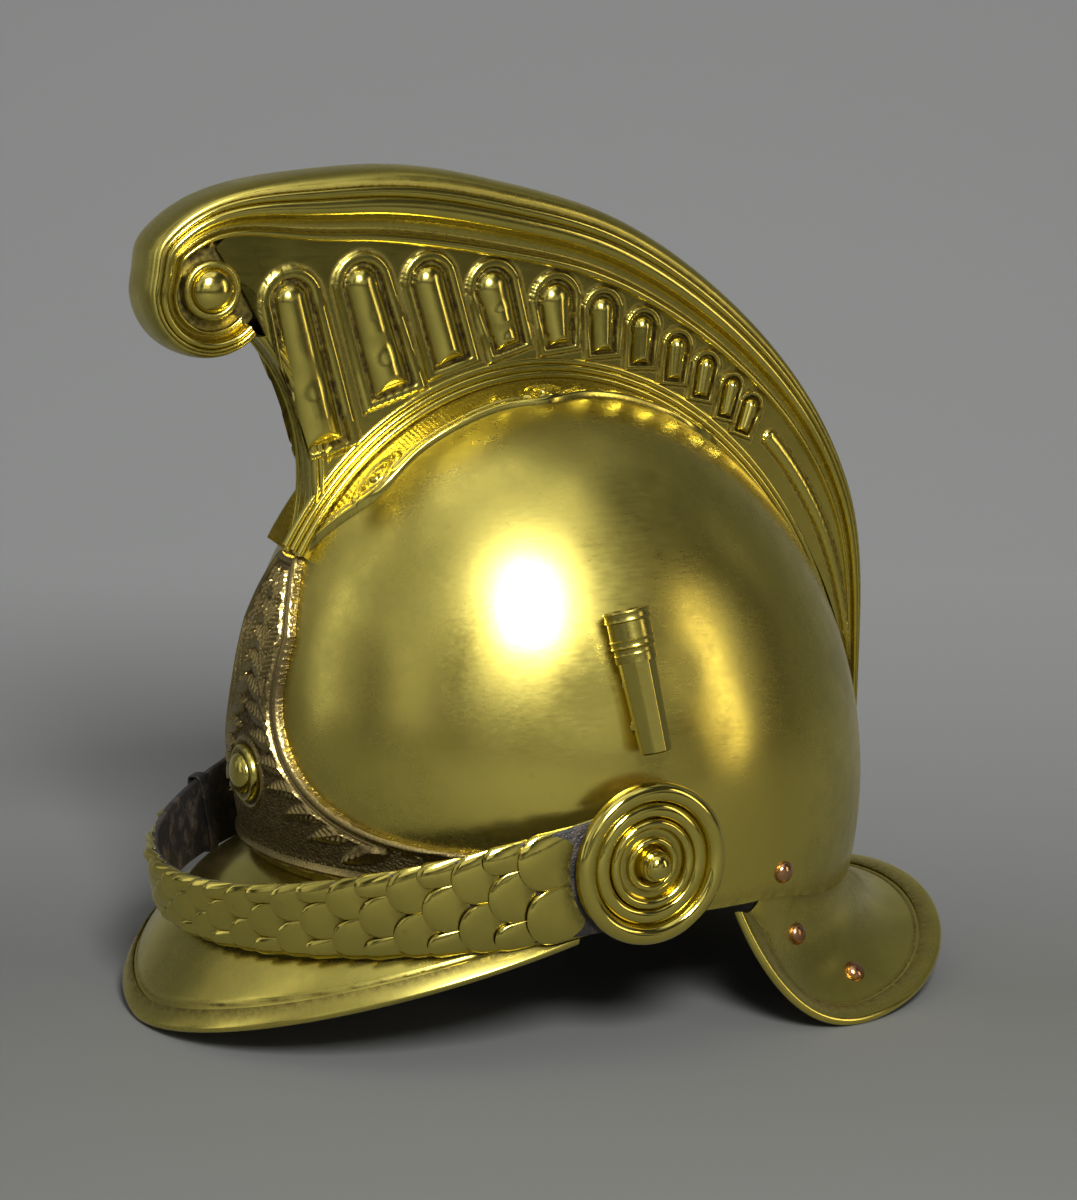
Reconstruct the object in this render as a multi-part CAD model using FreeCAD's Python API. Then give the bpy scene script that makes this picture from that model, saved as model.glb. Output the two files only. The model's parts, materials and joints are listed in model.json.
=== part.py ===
import FreeCAD, Part
import math
import os

# Frame: the wearer faces -Y, the wearer's left is +X, +Z is up, and the helmet stands on z = 0
# on the front of its peak and on the two low lobes of its nape guard. Sizes are in millimetres.

# Skull
skull_half_width = 95.0
skull_half_length = 115.0
skull_half_height = 135.0
skull_mid_z = 80.6
skull_mid_y = 5.5
skull_lean_share = 0.08
skull_wall = 1.0
skull_sides = 40
skull_ring_angles = (0.0, 9.0, 18.0, 27.0, 36.0, 45.0, 54.0, 62.5, 70.5, 78.0, 85.0)
front_edge_z = 53.0
ear_edge_z = 46.0
rear_edge_z = 40.0
edge_step_share = 0.35
seat_gap = 0.1
cover_gap = 0.25

# Front peak and nape guard
sheet = 1.2
collar_height = 12.0
brim_sections = 8
collar_gap = 0.25
brim_end_drop = 3.0
peak_half_width = 96.0
peak_rim_depth = 111.0
peak_rim_mid_y = -38.5
peak_wrap_share = 0.77
peak_rise_share = 0.75
peak_sag_share = -0.09
nape_half_width = 97.0
nape_rim_depth = 85.0
nape_rim_mid_y = 66.5
nape_rear_z = 22.0
nape_lobe_angle = 80.0
nape_wrap_share = 0.636
nape_rear_share = 2.2
nape_rise_share = 2.6
nape_sag_share = 0.20
binding_sheet = 0.8
binding_gap = 0.2
peak_binding_width = 9.0
nape_binding_width = 6.0
binding_run_share = 0.75

# Crest outline, seen from the side
volute_y = -129.0
volute_z = 250.0
volute_radius = 23.0
volute_end_angle = -44.0
volute_top_angle = 165.0
volute_stations = 8
volute_length_share = 0.17
crest_top_z = 290.0
crest_tail_y = 131.5
crest_tail_z = 72.0
# Each row is the share of the way back from the volute to the tail and the share of the height
spine_shares = (
    (-0.080, 0.883),
    (-0.056, 0.919),
    (-0.0165, 0.951),
    (0.036, 0.974),
    (0.132, 0.992),
    (0.270, 1.000),
    (0.416, 0.973),
    (0.566, 0.923),
    (0.693, 0.841),
    (0.804, 0.736),
    (0.889, 0.625),
    (0.947, 0.514),
    (0.978, 0.420),
    (0.993, 0.320),
    (0.998, 0.190),
    (1.000, 0.000),
)
spine_stations = 22
scroll_turn_stations = 2
cornice_depth = 26.0
cornice_half_width = 12.5
# Shares of the cornice's depth and half width along the crest, from the volute's end to the tail
cornice_depth_shares = (0.36, 0.38, 0.44, 0.54, 0.92, 1.04, 0.98, 0.88, 0.74, 0.60, 0.44, 0.30, 0.20, 0.14)
cornice_width_shares = (0.84, 0.88, 0.94, 1.00, 1.00, 0.97, 0.92, 0.84, 0.74, 0.64, 0.54, 0.44, 0.36, 0.26)
# Outer profile of one side: share of the half width, share of the depth
band_profile_shares = ((0.0, 0.0), (0.50, 0.02), (0.90, 0.12), (0.97, 0.25))
side_profile_shares = (
    (0.88, 0.26),
    (1.00, 0.33),
    (0.90, 0.42),
    (1.02, 0.50),
    (0.92, 0.65),
    (0.68, 0.82),
    (0.84, 0.90),
    (0.82, 0.97),
    (0.70, 1.00),
    (0.50, 1.00),
    (0.50, 0.26),
)
volute_ball_radius = 8.0
volute_ball_height = 4.0
volute_core_radius = 8.8
volute_disc_radius = 18.6
volute_disc_half = 5.0
volute_sides = 16
volute_hollow_angles = (-40.0, -20.0, 0.0, 20.0, 40.0, 60.0, 80.0)

# Crest web, its gadroons and its foot
web_half_front = 7.2
web_half_rear = 3.4
web_wall = 1.0
flange_sheet = 1.2
# Share of the way along the cornice's lower edge and along the foot moulding for each gadroon's middle
gadroon_top_shares = (0.036, 0.109, 0.180, 0.248, 0.322, 0.378, 0.429, 0.475, 0.516, 0.554, 0.586, 0.625)
gadroon_foot_shares = (0.071, 0.167, 0.237, 0.303, 0.359, 0.409, 0.455, 0.498, 0.535, 0.572, 0.599, 0.637)
gadroon_width_share = 0.88
gadroon_height = 0.9
gadroon_rib_height = 2.4
gadroon_frame_share = 0.16
gadroon_recess_share = 1.3
gadroon_crown_share = 0.40
gadroon_top_gap = 1.2
gadroon_foot_gap = 0.8
# The first gadroons stand lower under the scroll and higher over the foot, by less for each
gadroon_lead_drop = 9.0
gadroon_lead_rise = 4.0
gadroon_lead_share = 0.3
gadroon_arch_steps = 4
tail_gadroon_end_share = 0.93
tail_gadroon_half = 2.6
tail_gadroon_point_half = 0.3
tail_gadroon_crown_share = 0.3
tail_gadroon_height_share = 0.6
tail_gadroon_steps = 8
foot_bead_height = 7.5
foot_bead_proud = 2.4
foot_bead_thin_share = 0.6
foot_stations = 15
# Section of the foot moulding: share of its stand-out, share of its height
foot_bead_shares = ((0.0, 0.0), (1.0, 0.14), (1.0, 0.46), (0.4, 0.56), (0.9, 0.76), (0.0, 1.0))
front_strip_depth = 4.5
front_strip_half_width = 8.2
front_strip_waist_y = -92.5
front_strip_waist_z = 192.0
front_strip_foot_y = -96.5
# Half section of the strip from its back to its face: share of its half width, share of its depth
front_strip_shares = ((1.0, 1.0), (1.0, 0.4), (0.55, 0.0))
front_strip_foot_z = 159.2
flange_half_width = 27.0
flange_wave = 3.0
flange_inner = 2.6
flange_root_share = 0.30
flange_arch_power = 0.55
flange_arch_start = 0.08
flange_arch_reach = 1.15
flange_taper_share = 0.25
flange_wave_reach = 0.055
flange_wave_level = 0.5
flange_stations = 18
flange_eye_shares = (0.12, 0.42, 0.74)
flange_eye_inset = 5.0
flange_stud_radius = 2.2
flange_stud_height = 1.2

# Front plate
plate_sheet = 1.6
plate_top_z = 159.0
plate_bottom_z = 56.0
plate_neck_half = 19.0
plate_neck_z = 118.0
plate_wing_half = 82.0
plate_wing_z = 70.0
# Corners of the plate's top: shares of the neck's half width, out and down
plate_top_shares = ((0.0, 0.0), (0.75, 0.7), (1.0, 1.3))
plate_arc_steps = 7
plate_bead_width = 3.0
plate_bead_height = 1.6
boss_z = 84.0
boss_radius = 10.0
boss_height = 5.5
boss_rim_share = 0.3
boss_dome_share = 0.78
leaf_height = 1.0
leaf_length = 15.0
leaf_width_share = 0.36
# Half outline of a leaf from its tip to its root: share of its half width, share of its half length
leaf_outline_shares = ((0.0, 1.0), (1.0, 0.0), (0.9, -0.5), (0.0, -1.0))
# Each row is the share of the wing's reach, the share of the plate's height and the turn in degrees
leaf_shares = (
    (0.09, 0.84, 20.0),
    (0.10, 0.68, 24.0),
    (0.11, 0.53, 30.0),
    (0.22, 0.38, 55.0),
    (0.35, 0.25, 78.0),
    (0.54, 0.17, 100.0),
    (0.27, 0.13, 112.0),
)

# Fixings inside
bolt_radius = 2.0
nut_radius = 4.0
nut_height = 3.0
crest_block_length = 8.0
crest_block_height = 6.0
crest_bolt_ys = (-52.0, 8.0, 62.0)
plate_stud_zs = (102.0, 140.0)
stud_sides = 8

# Chinstrap loop, its pivots and its scales
pivot_y = -9.5
pivot_z = 68.0
strap_half_width = 99.0
strap_reach = 129.0
strap_droop = 10.7
strap_leather = 2.4
strap_root_width = 42.0
strap_tip_width = 21.0
strap_stations = 14
strap_seam_step = 5
strap_sweep = 135.0
strap_sweep_steps = 1080
scale_sheet = 0.8
scale_rows = 21
right_scale_rows = 4
scale_first_pitch = 11.2
scale_pitch_share = 0.98
scale_lap = 3.5
scale_lift = 0.9
scale_root_gap = 1.0
scale_arc_steps = 3
scale_bulge_share = 0.6
scale_middle_share = 0.5
pivot_bolt_radius = 3.0
pivot_nut_radius = 5.0
pivot_boss_radius = 6.0
pivot_boss_gap = 0.5
pivot_boss_sides = 12
pivot_eye_sides = 20
pivot_bolt_sides = 12
running_gap = 0.3
bolt_gap = 0.08
rosette_radius = 27.5
rosette_height = 5.6
rosette_sides = 24
# Face of the rosette from its rim inwards: share of its radius, share of its height
rosette_shares = (
    (1.0, 0.0),
    (1.0, 0.22),
    (0.91, 0.80),
    (0.80, 0.46),
    (0.63, 0.54),
    (0.53, 0.94),
    (0.44, 0.60),
    (0.30, 1.0),
    (0.20, 0.84),
)
knob_radius = 5.0
knob_height = 4.4
pivot_boss_sink = 2.4

tongue_outer_leather = 1.6
tongue_outer_width = 12.0
tongue_root_angle = -28.5
tongue_end_step = 8
buckle_angle = -38.5
buckle_side = 2.0
buckle_length = 15.0
buckle_pin_radius = 0.9
prong_eye_radius = 1.9
prong_width = 2.4
keeper_angle = -46.0
keeper_width = 5.0
keeper_sheet = 0.8
keeper_gap = 0.25

# Plume socket on the wearer's left
socket_top_y = -15.0
socket_top_z = 151.0
socket_foot_y = -8.0
socket_foot_z = 105.0
socket_stand_off = 2.6
socket_top_radius = 7.0
socket_foot_radius = 5.4
socket_bore_radius = 4.5
socket_bore_depth = 38.0
socket_sides = 8
socket_collar_radius = 8.4
socket_collar_height = 17.0
socket_collar_sides = 14
# Outline of the collar from the mouth down: share of its height, share of its radius
socket_collar_shares = (
    (0.0, 0.94),
    (0.06, 1.0),
    (0.20, 1.0),
    (0.28, 0.90),
    (0.62, 0.90),
    (0.70, 1.0),
    (0.82, 1.0),
    (0.90, 0.88),
    (1.0, 0.86),
)
socket_saddle_radius = 3.4
socket_saddle_shares = (0.16, 0.46)
socket_saddle_sides = 8

# Rivets with domed copper heads
rivet_head_radius = 3.7
rivet_head_height = 2.4
rivet_shank_radius = 1.6
rivet_sides = 8
# Turn from the rear towards the side, in degrees, and share of the way out from the skull to the rim
collar_rivet_angles = (67.0, 10.0)
guard_rivet_angles = (60.0, 45.0)
guard_rivet_shares = (0.30, 0.63)
collar_rivet_share = 0.75

# Lining
band_leather = 2.0
band_low_z = 50.0
band_top_z = 86.0
tongue_count = 8
tongue_leather = 1.6
tongue_half_turn = 12.0
tongue_low_z = 72.0
tongue_top_z = 186.0
tongue_top_share = 0.22
tongue_stations = 5

# Section of every domed head: share of its height, share of its radius
dome_shares = ((0.0, 1.0), (0.50, 0.84), (0.88, 0.46), (1.0, 0.12))
cut_over = 1.0
flat_tolerance = 1e-7


def vec(x, y, z):
    return FreeCAD.Vector(x, y, z)


def quad_faces(a, b, c, d):
    """One flat face where the four corners share a plane, otherwise two triangles."""
    corners = [p for i, p in enumerate((a, b, c, d)) if p.distanceToPoint((d, a, b, c)[i]) > flat_tolerance]
    if len(corners) < 3:
        return []
    if len(corners) == 3:
        return [Part.Face(Part.makePolygon(corners + corners[:1]))]
    normal = (b - a).cross(c - a)
    flat = normal.Length > flat_tolerance and abs((d - a).dot(normal.normalize())) < flat_tolerance
    if flat:
        return [Part.Face(Part.makePolygon([a, b, c, d, a]))]
    return [Part.Face(Part.makePolygon([a, b, c, a])), Part.Face(Part.makePolygon([a, c, d, a]))]


def is_flat(ring):
    """Whether a ring's points lie in the plane of its widest corner."""
    normals = [(p - ring[0]).cross(q - ring[0]) for p, q in zip(ring[1:-1], ring[2:])]
    normal = max(normals, key=lambda n: n.Length)
    normal.normalize()
    return all(abs((p - ring[0]).dot(normal)) < flat_tolerance for p in ring)


def cap_faces(ring):
    """A flat cap, or a fan of triangles where the ring isn't flat."""
    if is_flat(ring):
        return [Part.Face(Part.makePolygon(ring + ring[:1]))]
    return [Part.Face(Part.makePolygon([ring[0], p, q, ring[0]])) for p, q in zip(ring[1:-1], ring[2:])]


def solid_from(faces):
    shell = Part.Shell(faces)
    shell.sewShape()
    solid = Part.Solid(shell)
    if solid.Volume < 0:
        solid.reverse()
    return solid


def side_faces(rings):
    faces = []
    for low, high in zip(rings[:-1], rings[1:]):
        n = len(low)
        for i in range(n):
            j = (i + 1) % n
            faces += quad_faces(low[i], low[j], high[j], high[i])
    return faces


def faceted_loft(rings):
    """A closed body through rings of equal point count, with a flat cap at each end."""
    return solid_from(side_faces(rings) + cap_faces(rings[0]) + cap_faces(rings[-1]))


def strip_loft(sections):
    """A bent sheet through sections, each a line of inner points and a line of as many outer points."""
    rings = [inner + outer[::-1] for inner, outer in sections]
    faces = side_faces(rings)
    for inner, outer in (sections[0], sections[-1]):
        for k in range(len(inner) - 1):
            faces += quad_faces(inner[k], inner[k + 1], outer[k + 1], outer[k])
    return solid_from(faces)


def blend(shares, u):
    """The value at share u of the way along a table of evenly spaced shares."""
    s = min(max(u, 0.0), 1.0) * (len(shares) - 1)
    i = min(int(s), len(shares) - 2)
    return shares[i] + (shares[i + 1] - shares[i]) * (s - i)


def mirrored(shape):
    return shape.mirror(vec(0, 0, 0), vec(1, 0, 0))


def skull_scale(z, grow=0.0):
    h = skull_half_height + grow
    return math.sqrt(max(1 - ((z - skull_mid_z) / h) ** 2, 0.0))


def skull_axis_y(z):
    return skull_mid_y - skull_lean_share * (z - skull_mid_z)


def skull_point(angle, z, grow=0.0):
    """A point on the skull's surface; the angle is in degrees from the front towards the wearer's left."""
    t = skull_scale(z, grow)
    a = math.radians(angle)
    x = (skull_half_width + grow) * t * math.sin(a)
    y = skull_axis_y(z) - (skull_half_length + grow) * t * math.cos(a)
    return vec(x, y, z)


def skull_angles():
    return [360.0 * i / skull_sides for i in range(skull_sides)]


def skull_ring(z, grow=0.0):
    return [skull_point(angle, z, grow) for angle in skull_angles()]


def brim_turn(angle):
    """Share from 1 in the middle of the front or the rear to 0 where the brims end."""
    end = brim_end_angle()
    off = min(abs(angle) % 360.0, 360.0 - abs(angle) % 360.0)
    near = min(off, 180.0 - off)
    return max(0.0, 1.0 - near / end), off < 90.0


def edge_z(angle):
    """Height of the skull's lower edge: high in front, arched over the ears and low behind."""
    share, front = brim_turn(angle)
    if front:
        return ear_edge_z + (front_edge_z - ear_edge_z) * math.sin(math.pi / 2 * share)
    return ear_edge_z + (rear_edge_z - ear_edge_z) * min(1.0, share / edge_step_share)


def skull_levels(grow=0.0):
    """Heights of the rings that the skull's faces span, from the lowest edge to the crown."""
    h = skull_half_height + grow
    levels = [rear_edge_z, front_edge_z, front_edge_z + collar_height]
    levels += [skull_mid_z + h * math.sin(math.radians(a)) for a in skull_ring_angles]
    return levels


def wall_point(angle, z, grow):
    """A point on the straight line between the two rings that z lies between."""
    levels = skull_levels(grow)
    k = max([i for i in range(len(levels) - 1) if levels[i] <= z], default=0)
    low, high = levels[k], levels[k + 1]
    a, b = skull_point(angle, low, grow), skull_point(angle, high, grow)
    return a + (b - a) * ((z - low) / (high - low))


def dome(grow, edged=False):
    """The space under the skull's surface grown by a distance; edged stops it at the skull's lower edge."""
    levels = skull_levels(grow)
    rings = [skull_ring(z, grow) for z in levels]
    if edged:
        rings[0] = [wall_point(angle, min(edge_z(angle), front_edge_z - seat_gap), grow)
                    for angle in skull_angles()]
    return faceted_loft(rings)


def side_x(y, z, grow=0.0):
    """Half width of the skull's surface at a height and a distance along it."""
    t = skull_scale(z, grow)
    run = (y - skull_axis_y(z)) / ((skull_half_length + grow) * t)
    return (skull_half_width + grow) * t * math.sqrt(max(1 - run * run, 0.0))


def front_y(x, z, grow=0.0):
    """Front of the skull's surface at a height and a distance to the side."""
    t = skull_scale(z, grow)
    run = x / ((skull_half_width + grow) * t)
    return skull_axis_y(z) - (skull_half_length + grow) * t * math.sqrt(max(1 - run * run, 0.0))


def turned(base, axis, rows, sides):
    """A turned body with flat sides: each row is a distance along the axis and a radius."""
    axis = vec(axis.x, axis.y, axis.z)
    axis.normalize()
    u = axis.cross(vec(0, 0, 1) if abs(axis.z) < 0.9 else vec(0, 1, 0))
    u.normalize()
    v = axis.cross(u)
    rings = []
    for distance, radius in rows:
        ring = []
        for i in range(sides):
            a = 2 * math.pi * (i + 0.5) / sides
            ring.append(base + axis * distance + u * (radius * math.cos(a)) + v * (radius * math.sin(a)))
        rings.append(ring)
    return faceted_loft(rings)


def domed_rows(start, radius, height):
    """Rows of a domed head that starts at a distance along its axis."""
    return [(start + height * rise, radius * out) for rise, out in dome_shares]


def step_towards(start, target, distance):
    """The point at a distance from one point towards another."""
    run = target - start
    run.normalize()
    return start + run * distance


def middle_normal(y):
    """Point and outward direction on the skull's middle line over y."""
    z = skull_top_line(y)
    slope = (skull_top_line(y + cut_over) - skull_top_line(y - cut_over)) / (2 * cut_over)
    normal = vec(0, -slope, 1)
    normal.normalize()
    return vec(0, y, z), normal


def skull_holes():
    """Holes for the strap's bosses, the crest's bolts and the plate's studs."""
    boss = pivot_boss_hole()
    holes = [boss, mirrored(boss)]
    places = [middle_normal(y) for y in crest_bolt_ys]
    for z in plate_stud_zs:
        point = vec(0, front_y(0, z), z)
        places.append((point, skull_normal(point)))
    rows = [(-2 * cut_over, bolt_radius + seat_gap), (2 * cut_over, bolt_radius + seat_gap)]
    return holes + [turned(point, normal, rows, stud_sides) for point, normal in places]


def skull_shell():
    inner = dome(-skull_wall)
    return dome(0.0, True).cut([inner] + skull_holes())


def skull_top_line(y, lift=0.0):
    """Height of the skull's middle line over y, by halving."""
    low, high = 0.0, 1.0
    front = y < skull_axis_y(skull_mid_z + skull_half_height)
    for _ in range(40):
        mid = (low + high) / 2
        z = skull_mid_z + (skull_half_height + lift) * mid
        reach = (skull_half_length + lift) * skull_scale(z, lift)
        edge = skull_axis_y(z) - reach if front else skull_axis_y(z) + reach
        inside = edge < y if front else edge > y
        if inside:
            low = mid
        else:
            high = mid
    return skull_mid_z + (skull_half_height + lift) * low


def brim_section(angle, rim, sag, lap):
    """Section of a brim: a collar inside the skull, then a bowed flare with a corner where its binding ends."""
    outer_grow = -skull_wall - collar_gap
    z = min(edge_z(angle), front_edge_z - seat_gap)
    top = z + collar_height
    outer = [wall_point(angle, top, outer_grow), wall_point(angle, z - cover_gap, outer_grow)]
    inner = [wall_point(angle, top, outer_grow - sheet), wall_point(angle, z - cover_gap, outer_grow - sheet)]
    start = outer[1]
    run = rim - start
    middle = (start + rim) * 0.5 - offset_normal(run) * (run.Length * sag)
    lift_a = offset_normal(middle - start)
    lift_b = offset_normal(rim - middle)
    low_middle = middle - (lift_a + lift_b) * (sheet / 2)
    low_rim = rim - lift_b * sheet
    shortest = min((middle - rim).Length, (low_middle - low_rim).Length)
    reach = min(lap, binding_run_share * shortest)
    outer += [middle, step_towards(rim, middle, reach), rim]
    inner += [low_middle, step_towards(low_rim, low_middle, reach), low_rim]
    inner[1] = inner[1] - vec(0, 0, sheet)
    return inner, outer


def offset_normal(run):
    """The upward direction square to a run."""
    along = vec(run.x, run.y, run.z)
    along.normalize()
    normal = vec(0, 0, 1) - along * along.z
    normal.normalize()
    return normal


def skull_normal(point):
    """Outward direction of the skull's surface at a point."""
    slope = (point.y - skull_axis_y(point.z)) / skull_half_length ** 2
    rise = (point.z - skull_mid_z) / skull_half_height ** 2
    normal = vec(point.x / skull_half_width ** 2, slope, rise + skull_lean_share * slope)
    normal.normalize()
    return normal


def brim_end_angle():
    return 360.0 * brim_sections / skull_sides


def rim_lift():
    """Height of a rim over the ground where its binding stands on it."""
    return sheet + binding_gap + binding_sheet


def peak_rim(angle):
    phi = math.radians(angle / peak_wrap_share)
    end = math.radians(brim_end_angle() / peak_wrap_share)
    lift = rim_lift()
    rise = ((1 - math.cos(phi)) / (1 - math.cos(end))) ** peak_rise_share
    z = lift + (ear_edge_z - brim_end_drop - lift) * rise
    return vec(peak_half_width * math.sin(phi), peak_rim_mid_y - peak_rim_depth * math.cos(phi), z)


def nape_rim(angle):
    turn = abs(angle) / nape_wrap_share
    end = brim_end_angle() / nape_wrap_share
    phi = math.radians(angle / nape_wrap_share)
    lobe = math.cos(math.radians(nape_lobe_angle)) ** nape_rear_share
    lift = rim_lift()
    if turn < nape_lobe_angle:
        z = lift + nape_rear_z * (math.cos(phi) ** nape_rear_share - lobe)
    else:
        rise = ((turn - nape_lobe_angle) / (end - nape_lobe_angle)) ** nape_rise_share
        z = lift + (ear_edge_z - brim_end_drop - lift) * rise
    return vec(nape_half_width * math.sin(phi), nape_rim_mid_y + nape_rim_depth * math.cos(phi), z)


def brim_angles():
    return [360.0 * i / skull_sides for i in range(-brim_sections, brim_sections + 1)]


def peak_sections():
    return [brim_section(angle, peak_rim(angle), peak_sag_share, peak_binding_width) for angle in brim_angles()]


def nape_section(angle):
    return brim_section(180.0 - angle, nape_rim(angle), nape_sag_share, nape_binding_width)


def nape_sections():
    return [nape_section(angle) for angle in brim_angles()]


def binding(sections):
    """A folded strip that wraps the rim of a brim on both faces, with the same corners as the brim."""
    folds = []
    for inner, outer in sections:
        under, over = inner[-1], outer[-1]
        lift = over - under
        lift.normalize()
        ahead = under - inner[-2]
        ahead.normalize()
        layers = []
        for gap in (binding_gap + binding_sheet, binding_gap):
            layers.append([
                outer[-2] + lift * gap,
                over + lift * gap + ahead * gap,
                under - lift * gap + ahead * gap,
                inner[-2] - lift * gap,
            ])
        folds.append((layers[0], layers[1]))
    return strip_loft(folds)


def spine_point(row):
    y = volute_y + (crest_tail_y - volute_y) * row[0]
    z = crest_tail_z + (crest_top_z - crest_tail_z) * row[1]
    return vec(0, y, z)


def volute_point(angle):
    a = math.radians(angle)
    return vec(0, volute_y + volute_radius * math.cos(a), volute_z + volute_radius * math.sin(a))


def spine_frames():
    """Stations along the crest's outline: the point, and the direction into the crest."""
    frames = []
    turn = (360.0 + volute_end_angle - volute_top_angle) / volute_stations
    for i in range(volute_stations):
        angle = 360.0 + volute_end_angle - turn * i
        point = volute_point(angle)
        inward = vec(0, volute_y, volute_z) - point
        frames.append((point, inward.normalize()))
    curve = Part.BSplineCurve()
    points = [volute_point(volute_top_angle)] + [spine_point(row) for row in spine_shares]
    curve.interpolate(Points=points)
    stops = curve.toShape().discretize(Number=spine_stations)
    for point in stops:
        u = curve.parameter(point)
        along = curve.tangent(u)[0]
        inward = vec(0, -along.z, along.y) * -1
        frames.append((point, inward.normalize()))
    return frames


def crest_share(i):
    """Share of the way along the crest, from the volute's end to the tail."""
    if i < volute_stations:
        return volute_length_share * i / volute_stations
    return volute_length_share + (1 - volute_length_share) * (i - volute_stations) / (spine_stations - 1)


def crest_depth(i):
    return cornice_depth * blend(cornice_depth_shares, crest_share(i))


def crest_width(i):
    return cornice_half_width * blend(cornice_width_shares, crest_share(i))


def profile_rings(frames, profile):
    rings = []
    for i, (point, inward) in enumerate(frames):
        d, w = crest_depth(i), crest_width(i)
        rings.append([point + inward * (d * q) + vec(w * p, 0, 0) for p, q in profile])
    return rings


def crest_band(frames):
    """The crowned strip along the top edge, one piece across the middle."""
    profile = list(band_profile_shares)
    full = [(-p, q) for p, q in profile[:0:-1]] + profile
    return faceted_loft(profile_rings(frames, full))


def crest_cornice(frames):
    return faceted_loft(profile_rings(frames, side_profile_shares))


def volute_bosses():
    """Round core of the scroll with a ball on each side, on a disc that closes the scroll behind."""
    foot = cornice_half_width * cornice_width_shares[0] - volute_ball_height / 2
    disc = [(-volute_disc_half, volute_disc_radius), (volute_disc_half, volute_disc_radius)]
    ball = [(foot, volute_core_radius)] + domed_rows(foot, volute_ball_radius, volute_ball_height)
    middle = vec(0, volute_y, volute_z)
    left = turned(middle, vec(1, 0, 0), disc + [(volute_disc_half, volute_core_radius)] + ball, volute_sides)
    right = turned(middle, vec(-1, 0, 0), [(0.0, volute_core_radius)] + ball, volute_sides)
    return left.fuse(right)


def inner_edge(frames, gap=0.0):
    points = []
    for i in range(volute_stations + scroll_turn_stations, len(frames)):
        point, inward = frames[i]
        points.append(point + inward * (crest_depth(i) + gap))
    return points


def front_edge(offset):
    """The web's hollow front edge: an arc from under the volute to the foot, through its waist."""
    top = volute_point(volute_end_angle)
    start = vec(0, top.y + offset, top.z)
    waist = vec(0, front_strip_waist_y + offset, front_strip_waist_z)
    foot = vec(0, front_strip_foot_y + offset, front_strip_foot_z)
    curve = Part.Arc(start, waist, foot).toShape()
    return curve.discretize(Number=9)


def foot_line(lift, first_y, last_z, count=26):
    """Points over the skull's middle line from the front to the back, lifted off its surface."""
    start = math.degrees(math.asin((skull_top_line(first_y) - skull_mid_z) / skull_half_height))
    stop = 180.0 - math.degrees(math.asin((last_z - skull_mid_z) / skull_half_height))
    points = []
    for i in range(count + 1):
        a = math.radians(start + (stop - start) * i / count)
        z = skull_mid_z + (skull_half_height + lift) * math.sin(a)
        y = skull_axis_y(z) - (skull_half_length + lift) * math.cos(a)
        points.append(vec(0, y, z))
    return points


def web_turn():
    """Angle by which each side of the web closes in towards the tail."""
    run = crest_tail_y - front_strip_foot_y
    return math.degrees(math.atan((web_half_front - web_half_rear) / run))


def onto_web(shape):
    shape.translate(vec(web_half_front, 0, 0))
    shape.rotate(vec(web_half_front, front_strip_foot_y, 0), vec(0, 0, 1), web_turn())
    return shape


def flat_body(points, low_x, thickness):
    """A plate in the side view, from its outline."""
    face = Part.Face(Part.makePolygon([vec(low_x, p.y, p.z) for p in points + points[:1]]))
    return face.extrude(vec(thickness, 0, 0))


def line_point(line, share):
    """The point at a share of the length of a line of points."""
    lengths = [p.distanceToPoint(q) for p, q in zip(line[:-1], line[1:])]
    left = share * sum(lengths)
    for i, length in enumerate(lengths):
        if left <= length:
            return line[i] + (line[i + 1] - line[i]) * (left / length)
        left -= length
    return line[-1]


def gadroon_lines(frames):
    """The cornice's lower edge and the upper edge of the foot moulding, in the side view."""
    lift = flange_sheet + seat_gap + foot_bead_height
    start_y = front_strip_foot_y + front_strip_depth
    return inner_edge(frames), foot_line(lift, start_y, crest_tail_z)


def gadroon_axes(frames):
    """Foot, top, foot width and top width of each gadroon."""
    edge, foot = gadroon_lines(frames)
    tops = [line_point(edge, share) for share in gadroon_top_shares]
    feet = [line_point(foot, share) for share in gadroon_foot_shares]
    last = len(tops) - 1
    rows = []
    for k in range(last):
        low, high = max(k - 1, 0), k + 1
        up = tops[k] - feet[k]
        up.normalize()
        across = vec(0, up.z, -up.y)
        wide = gadroon_width_share / (high - low)
        top_width = abs((tops[high] - tops[low]).dot(across)) * wide
        foot_width = abs((feet[high] - feet[low]).dot(across)) * wide
        lead = gadroon_lead_share ** k
        foot_gap = gadroon_foot_gap + gadroon_lead_rise * lead
        top_gap = gadroon_top_gap + gadroon_lead_drop * lead
        rows.append((feet[k] + up * foot_gap, tops[k] - up * top_gap, foot_width, top_width))
    return rows


def arch(foot, top, foot_width, top_width, shrink):
    """An arch outline: square at the foot, round at the top, drawn in by shrink."""
    up = top - foot
    height = up.Length
    up.normalize()
    across = vec(0, up.z, -up.y)
    spring = foot + up * (height - top_width / 2)
    r = top_width / 2 - shrink
    base = foot + up * shrink
    points = [base + across * (foot_width / 2 - shrink)]
    for i in range(gadroon_arch_steps + 1):
        a = math.pi * i / gadroon_arch_steps
        points.append(spring + across * (r * math.cos(a)) + up * (r * math.sin(a)))
    points.append(base - across * (foot_width / 2 - shrink))
    return points


def ridge_body(base, crown, lift):
    """A raised body from a base outline to a smaller crown outline above it."""
    low = [p + vec(-web_wall / 2, 0, 0) for p in base]
    high = [p + vec(lift, 0, 0) for p in crown]
    return faceted_loft([low, list(base), high])


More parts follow.
